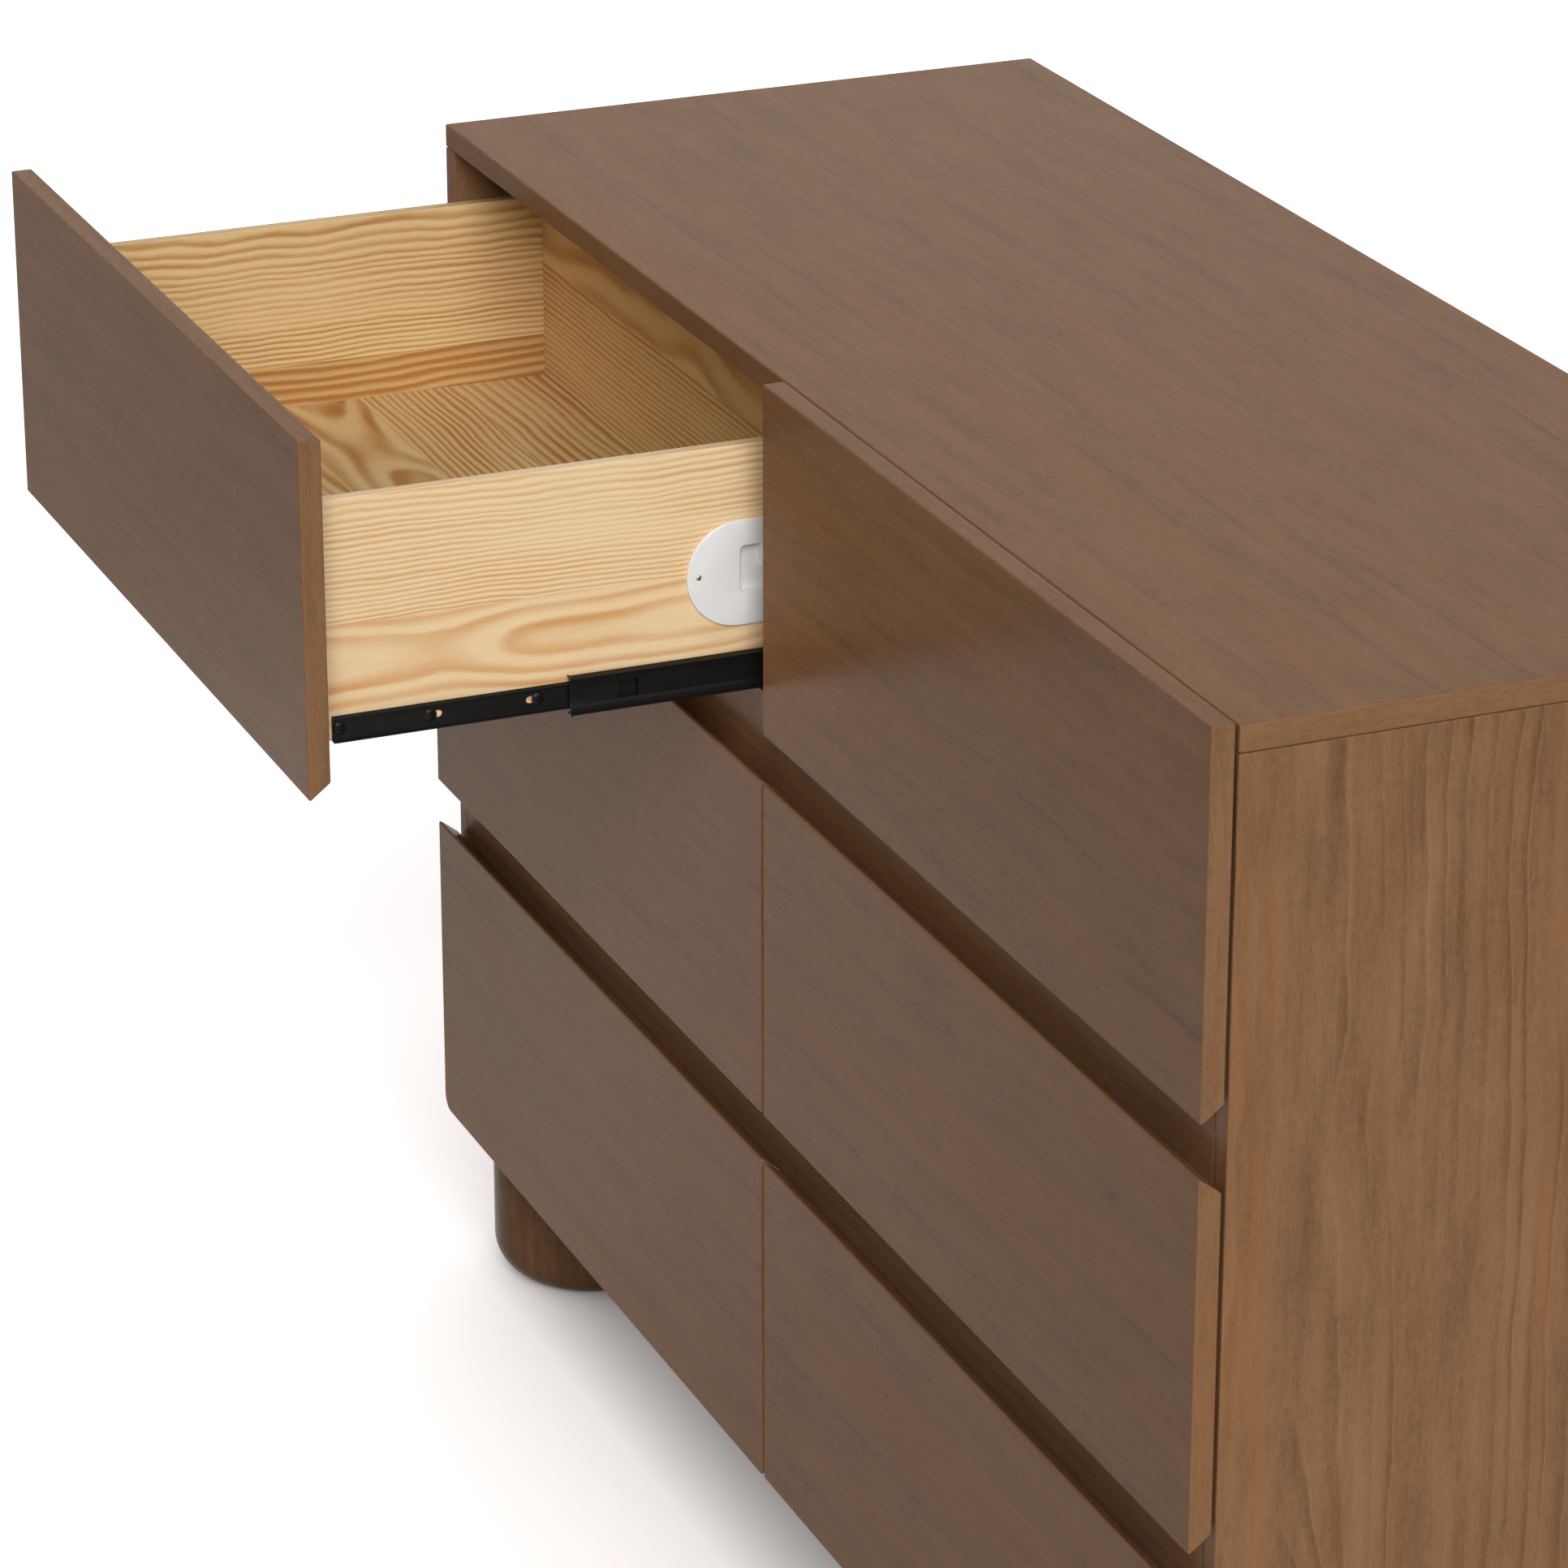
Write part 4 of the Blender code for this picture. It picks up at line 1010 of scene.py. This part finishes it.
class DRESSER_OT_boxes(bpy.types.Operator):
    """Drawer boxes: sides, sub-front and back, each glued from two staves, and a bottom of five"""
    bl_idname = "dresser.boxes"
    bl_label = "Drawer boxes"

    # Share of the height where the lower and the upper stave meet, then the staves. A stave's
    # fourth number is its tone. On the far side's lower stave and on the bottom's strips it
    # darkens the rings as painted shade, where the near side shades the inside of the drawer.
    SIDE_NEAR = (0.48, ((0.012, 0.022, 0.0095, 0.12), (0.085, 0.070, 0.0032, 0.0)))
    SIDE_FAR = (0.35, ((-0.065, 0.030, 0.0070, 0.50), (0.080, 0.085, 0.0036, 0.04)))
    ENDS = (0.69, ((-0.120, 0.040, 0.0048, 0.05), (0.030, 0.045, 0.0260, 0.0)))
    BOTTOM = ((-0.060, 0.040, 0.0070, 0.22), (0.055, 0.045, 0.0060, 0.18),
              (0.012, 0.035, 0.0120, 0.15), (0.110, 0.040, 0.0060, 0.15),
              (-0.090, 0.040, 0.0080, 0.20))

    # How far the maps of the staves are moved on: a start for each stave, and a step per board
    RUNS, RUN_STEP = (0.6, 2.9), 5.0
    BOTTOM_RUN, BOTTOM_STEP, STRIP_STEP = 90.0, 7.0, 2.1

    # How far a cutter reaches past a board
    PAST = 1.0

    def boards(self, low, high):
        """The four upright boards' boxes: the sides run the whole length, the ends between."""
        x = (low.x, low.x + BOX_BOARD, high.x - BOX_BOARD, high.x)
        y = (low.y, low.y + BOX_BOARD, high.y - BOX_BOARD, high.y)
        spans = {"left_side": (x[0], x[1], y[0], y[3]), "right_side": (x[2], x[3], y[0], y[3]),
                 "sub_front": (x[1], x[2], y[0], y[1]), "back": (x[1], x[2], y[2], y[3])}
        return {name: (np.array([left, front, low.z]), np.array([right, rear, high.z]))
                for name, (left, right, front, rear) in spans.items()}

    def pocket(self, drawer):
        """The blind pocket for the cup of an interlock plate, from the board's outer face in."""
        (x, y, z), out = plate_place(drawer)
        depth = CUP_DEPTH + CUP_WALL - plate_size()[2]
        reach = np.array([(depth + SHEET) / 2, CUP_HALF[0] + CUP_WALL + SEAT,
                          CUP_HALF[1] + CUP_WALL + SEAT])
        centre = np.array([x - out * (SEAT + (depth - SHEET) / 2), y, z + CUP_RISE])
        return board(centre - reach, centre + reach, 0, CUTTER_ARRIS)

    def upright(self, drawer, name, low, high, number):
        """One upright board as two staves, less the pocket if it has the interlock plate."""
        side = name.endswith("side")
        near = name == ("right_side" if drawer.endswith("left") else "left_side")
        share, staves = (self.SIDE_NEAR if near else self.SIDE_FAR) if side else self.ENDS
        joint = low[2] + share * (high[2] - low[2])
        arris = bpy.context.scene.dresser_sizes.box_arris
        whole = board(low, high, 0 if side else 1, arris)
        pockets = [self.pocket(drawer)] if near else []
        parts = []
        for bottom, top in ((joint - GLUE_LINE / 2, high[2] + self.PAST),
                            (low[2] - self.PAST, joint + GLUE_LINE / 2)):
            away = board((*(low[:2] - self.PAST), bottom), (*(high[:2] + self.PAST), top), 2,
                         CUTTER_ARRIS)
            parts.append(carved(whole, [away, *pockets]).as_stave(len(parts)))
        # The near side's outer face takes the pale pine, and the deeper boards take the darker
        # copy: painted shade.
        finish = finish_for(pine, "pale_pine" if near else "deep_pine")
        piece(f"{drawer}_{name}", joined(parts), finish, f"{drawer}_drawer",
              [f"{drawer}_drawer_box"], grain=1 if side else 0,
              staves=[(*stave, run + self.RUN_STEP * number)
                      for stave, run in zip(staves, self.RUNS)])

    def bottom(self, drawer, low, high, number):
        """The bottom's strips, glued edge to edge."""
        inside = BOX_BOARD + BOTTOM_GAP
        top = high.z - BOTTOM_DROP
        edges = np.linspace(low.y + inside, high.y - inside, len(self.BOTTOM) + 1)
        strips = [board((low.x + inside, start + GLUE_LINE / 2, top - BOTTOM_BOARD),
                        (high.x - inside, end - GLUE_LINE / 2, top), 2, SMALL_ARRIS)
                  for start, end in zip(edges[:-1], edges[1:])]
        run = self.BOTTOM_RUN + self.BOTTOM_STEP * number
        # The bottom takes the darker pine copy: painted shade.
        piece(f"{drawer}_bottom",
              joined([strip.as_stave(index) for index, strip in enumerate(strips)]),
              finish_for(pine, "deep_pine"),
              f"{drawer}_drawer", [f"{drawer}_drawer_box"], grain=0,
              staves=[(*stave, run + self.STRIP_STEP * index)
                      for index, stave in enumerate(self.BOTTOM)])

    def execute(self, context):
        for number, drawer in enumerate(DRAWERS):
            low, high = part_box(f"{drawer}_drawer_box")
            for index, (name, ends) in enumerate(self.boards(low, high).items()):
                self.upright(drawer, name, *ends, 4 * number + index)
            self.bottom(drawer, low, high, number)
        return {"FINISHED"}


class DRESSER_OT_case_members(bpy.types.Operator):
    """Outer channels of the runners, on the case"""
    bl_idname = "dresser.case_members"
    bl_label = "Runners' case members"

    def execute(self, context):
        member = swept(channel_outline(**CASE_MEMBER), [0, member_length("case")])
        runner_pieces({"case": member}, "{}_channel", coated_steel, sharp=40)
        return {"FINISHED"}


class DRESSER_OT_middle_members(bpy.types.Operator):
    """Middle members of the runners, each with a flared end, a window and a bent stop behind it"""
    bl_idname = "dresser.middle_members"
    bl_label = "Runners' middle members"

    def execute(self, context):
        lengths = [*np.linspace(0, FLARE_LENGTH, ARC_STEPS), member_length("middle")]
        web = MIDDLE_WEB + MIDDLE_EMBOSS
        start, end = WINDOW
        window = board((web - SHEET, start, -WINDOW_HALF), (web + 2 * SHEET, end, WINDOW_HALF), 0,
                       MIDDLE_FILLET)
        half = WINDOW_HALF - STOP_INSET
        stop = board((web - STOP_DEPTH, end, -half), (web + STOP_RISE, end + SHEET, half), 0,
                     SMALL_ARRIS)
        member = joined([carved(swept(middle_outline(), lengths, FLARE), [window]), stop])
        runner_pieces({"middle": member}, "{}_channel", coated_steel, sharp=40)
        return {"FINISHED"}


class DRESSER_OT_drawer_members(bpy.types.Operator):
    """Inner channels of the runners, on the drawers, slotted beside two of their screws"""
    bl_idname = "dresser.drawer_members"
    bl_label = "Runners' drawer members"

    def execute(self, context):
        slots = [board((-SHEET, along + min(reach, 0) - SLOT_HALF, -SLOT_HALF),
                       (2 * SHEET, along + max(reach, 0) + SLOT_HALF, SLOT_HALF), 0,
                       CUTTER_ARRIS, (SLOT_HALF,) * 4)
                 for along, reach in DRAWER_SCREWS if reach]
        outline = channel_outline(**DRAWER_MEMBER)
        member = carved(swept(outline, [0, member_length("drawer")]), slots)
        runner_pieces({"drawer": member}, "{}_channel", coated_steel, sharp=40)
        return {"FINISHED"}


class DRESSER_OT_ball_rows(bpy.types.Operator):
    """Four rows of balls in their cages, on each middle member"""
    bl_idname = "dresser.ball_rows"
    bl_label = "Ball rows"

    def execute(self, context):
        turn = np.linspace(0, math.pi, BALL_STEPS)[1:-1]
        ball = turned(BALL * np.stack([np.sin(turn), np.cos(turn)], axis=-1), BALL_SIDES)
        rear = member_length("middle") - BALL_INSET - BALL_SPAN
        places = np.linspace(2 * BALL, BALL_SPAN - 2 * BALL, BALLS)
        width, height = CAGE_HALF
        rows = []
        for (x, z), start in ((DRAWER_BALLS, BALL_INSET), (CASE_BALLS, rear)):
            for level in (-z, z):
                rows += [ball.moved(x, start + along, level) for along in places]
                rows.append(board((x - width, start, level - height),
                                  (x + width, start + BALL_SPAN, level + height), 0, SMALL_ARRIS))
        runner_pieces({"middle": joined(rows)}, "balls", bare_steel, sharp=60, replaced=False)
        return {"FINISHED"}


class DRESSER_OT_runner_screws(bpy.types.Operator):
    """Pan-head screws of the case and drawer members"""
    bl_idname = "dresser.runner_screws"
    bl_label = "Runner screws"

    def execute(self, context):
        head = screw_head(**RUNNER_SCREW).moved(SEAT + SHEET)
        places = {"case": CASE_SCREWS, "drawer": [along for along, _ in DRAWER_SCREWS]}
        heads = {member: joined([head.moved(0, along) for along in screws])
                 for member, screws in places.items()}
        runner_pieces(heads, "{}_screws", coated_steel, sharp=35, replaced=False)
        return {"FINISHED"}


class DRESSER_OT_plates(bpy.types.Operator):
    """Interlock plates, each with its cup and cam"""
    bl_idname = "dresser.plates"
    bl_label = "Interlock plates"

    def execute(self, context):
        size = plate_size()
        hole = turned(PLATE_HOLE, HOLE_SIDES)
        hole = hole.with_points(hole.points[:, [2, 1, 0]]).moved(size[2])
        holes = [hole.moved(0, along) for along in plate_screw_places()]
        shell = joined([carved(plate_surface(*size), holes), cam_surface(size[2])])
        for drawer in DRAWERS:
            place, out = plate_place(drawer)
            replaced = ["top_left_interlock_plate"] if drawer == "top_left" else ()
            piece(f"{drawer}_plate", shell.turned_to(out).moved(*place),
                  finish_for(moulded_plastic), f"{drawer}_drawer", replaced,
                  sharp=30)
        return {"FINISHED"}


class DRESSER_OT_plate_screws(bpy.types.Operator):
    """Two small screws in each interlock plate"""
    bl_idname = "dresser.plate_screws"
    bl_label = "Plate screws"

    def execute(self, context):
        head = screw_head(**PLATE_SCREW).moved(plate_size()[2] - PLATE_SCREW_SINK)
        group = joined([head.moved(0, along) for along in plate_screw_places()])
        for drawer in DRAWERS:
            place, out = plate_place(drawer)
            piece(f"{drawer}_plate_screws", group.turned_to(out).moved(*place),
                  finish_for(bare_steel), f"{drawer}_drawer", sharp=35)
        return {"FINISHED"}


class DRESSER_OT_front_screws(bpy.types.Operator):
    """Four screws through each sub-front into the drawer front"""
    bl_idname = "dresser.front_screws"
    bl_label = "Front screws"

    def execute(self, context):
        head = screw_head(**RUNNER_SCREW)
        head = head.with_points(head.points[:, [1, 0, 2]])
        for drawer in DRAWERS:
            low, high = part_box(f"{drawer}_drawer_box")
            middle, aside = (low.x + high.x) / 2, FRONT_SCREW_SHARE * (high.x - low.x)
            levels = (high.z - FRONT_SCREW_INSET, high.z - BOTTOM_DROP + FRONT_SCREW_INSET)
            group = joined([head.moved(x, low.y + BOX_BOARD, level)
                            for x in (middle - aside, middle + aside) for level in levels])
            piece(f"{drawer}_front_screws", group, finish_for(bare_steel), f"{drawer}_drawer",
                  sharp=35)
        return {"FINISHED"}


class DRESSER_OT_stage(bpy.types.Operator):
    """Floor, surroundings, lamp and camera"""
    bl_idname = "dresser.stage"
    bl_label = "Stage"

    # Half the floor's side, its colour for light that it throws back and as it is seen, the reach
    # of the painted contact shade in its glow, and how far from the middle its glow fades out
    # where a gloss shows it
    FLOOR_HALF = 40.0
    FLOOR_OWN = 0.55, 0.55, 0.55
    FLOOR_SEEN = 0.95, 0.92, 0.915
    SHADE_REACH = 0.5
    SHADE_SAMPLES = 8
    GLOSS_FADE = 2.7, 1.7

    # The way to the surroundings' brighter part, and the cosines where it begins and is full
    REAR_WAY = -0.72, 0.69, 0.0
    REAR_SPREAD = 0.55, 1.0

    SENSOR = 36
    CLIP_END = 200

    def floor(self, stage):
        corners = np.array([(-1, -1, 0), (1, -1, 0), (1, 1, 0), (-1, 1, 0)]) * self.FLOOR_HALF
        floor = plain_object("floor", Surface(corners, [0, 1, 2, 3], [4]))
        finish = Finish("pale_floor", 0.9, specular=0.0)
        finish.shade("Base Color", finish.mix(finish.seen(), self.FLOOR_OWN, self.FLOOR_SEEN))
        finish.shade("Emission Color", (*self.FLOOR_SEEN, 1))
        path = finish.node("LightPath").outputs
        far = finish.node("VectorMath", {0: finish.place()}, operation="LENGTH").outputs["Value"]
        gloss = finish.math("MULTIPLY", path["Is Glossy Ray"], finish.ease(far, *self.GLOSS_FADE))
        shown = finish.math("MAXIMUM", path["Is Camera Ray"], gloss)
        # Ambient occlusion dims the floor's glow near the pieces: painted contact shade.
        shade = finish.node("AmbientOcclusion", {"Distance": self.SHADE_REACH},
                            samples=self.SHADE_SAMPLES)
        lift = finish.math("MULTIPLY", shade.outputs["AO"], stage.floor_lift)
        finish.shade("Emission Strength", finish.math("MULTIPLY", shown, lift))
        floor.data.materials.append(finish.material)

    def surroundings(self, stage):
        """White where they are seen; for lighting, the fill, and more from behind and the left."""
        world = bpy.data.worlds.new("white_surroundings")
        world.use_nodes = True
        bpy.context.scene.world = world
        rays = Nodes(world.node_tree)
        background = rays.tree.nodes["Background"].inputs
        background["Color"].default_value = (1, 1, 1, 1)
        way = rays.node("TexCoord").outputs["Generated"]
        facing = rays.node("VectorMath", {0: way, 1: self.REAR_WAY}, operation="DOT_PRODUCT")
        fill = rays.spread(facing.outputs["Value"], *self.REAR_SPREAD, stage.fill,
                           stage.fill + stage.rear_fill)
        seen = rays.seen()
        unseen = rays.math("MULTIPLY", rays.math("SUBTRACT", 1.0, seen), fill)
        rays.feed(background["Strength"], rays.math("ADD", seen, unseen))

    def lamp(self, stage):
        light = bpy.data.lights.new("key", "SUN")
        light.energy = stage.key
        light.angle = stage.key_breadth
        lamp = bpy.data.objects.new("key", light)
        lamp.rotation_euler = (0, math.pi / 2 - stage.key_height, -stage.key_turn)
        bpy.context.scene.collection.objects.link(lamp)

    def camera(self, stage):
        data = bpy.data.cameras.new("camera")
        data.sensor_width = self.SENSOR
        data.lens = stage.lens
        data.clip_end = self.CLIP_END
        camera = bpy.data.objects.new("camera", data)
        camera.location = stage.eye
        camera.rotation_euler = (math.pi / 2 - stage.pitch, 0, stage.yaw)
        bpy.context.scene.collection.objects.link(camera)
        bpy.context.scene.camera = camera

    def execute(self, context):
        for prepare in (self.floor, self.surroundings, self.lamp, self.camera):
            prepare(context.scene.dresser_stage)
        context.scene.view_settings.view_transform = "Standard"
        return {"FINISHED"}


OPERATORS = (
    DRESSER_OT_stage, DRESSER_OT_top, DRESSER_OT_sides, DRESSER_OT_inner_case, DRESSER_OT_legs,
    DRESSER_OT_fronts, DRESSER_OT_boxes, DRESSER_OT_case_members, DRESSER_OT_middle_members,
    DRESSER_OT_drawer_members, DRESSER_OT_ball_rows, DRESSER_OT_runner_screws,
    DRESSER_OT_plates, DRESSER_OT_plate_screws, DRESSER_OT_front_screws)
GROUPS = {"dresser_sizes": DresserSizes, "dresser_colours": DresserColours,
          "dresser_stage": DresserStage}


class DRESSER_PT_panel(bpy.types.Panel):
    """Sizes, colours and pieces of the dresser"""
    bl_idname = "DRESSER_PT_panel"
    bl_label = "Dresser"
    bl_space_type = "VIEW_3D"
    bl_region_type = "UI"
    bl_category = "Dresser"

    def draw(self, context):
        for name, group in GROUPS.items():
            column = self.layout.column(align=True)
            for setting in group.__annotations__:
                column.prop(getattr(context.scene, name), setting)
        for operator in OPERATORS:
            self.layout.operator(operator.bl_idname)


def register():
    for name, group in GROUPS.items():
        bpy.utils.register_class(group)
        setattr(bpy.types.Scene, name, PointerProperty(type=group))
    for shown in (*OPERATORS, DRESSER_PT_panel):
        bpy.utils.register_class(shown)


def unregister():
    for shown in (DRESSER_PT_panel, *reversed(OPERATORS)):
        bpy.utils.unregister_class(shown)
    for name, group in GROUPS.items():
        delattr(bpy.types.Scene, name)
        bpy.utils.unregister_class(group)


def main():
    register()
    for operator in OPERATORS:
        getattr(bpy.ops.dresser, operator.bl_idname.split(".")[1])()
    bpy.context.view_layer.update()


if __name__ == "__main__":
    main()
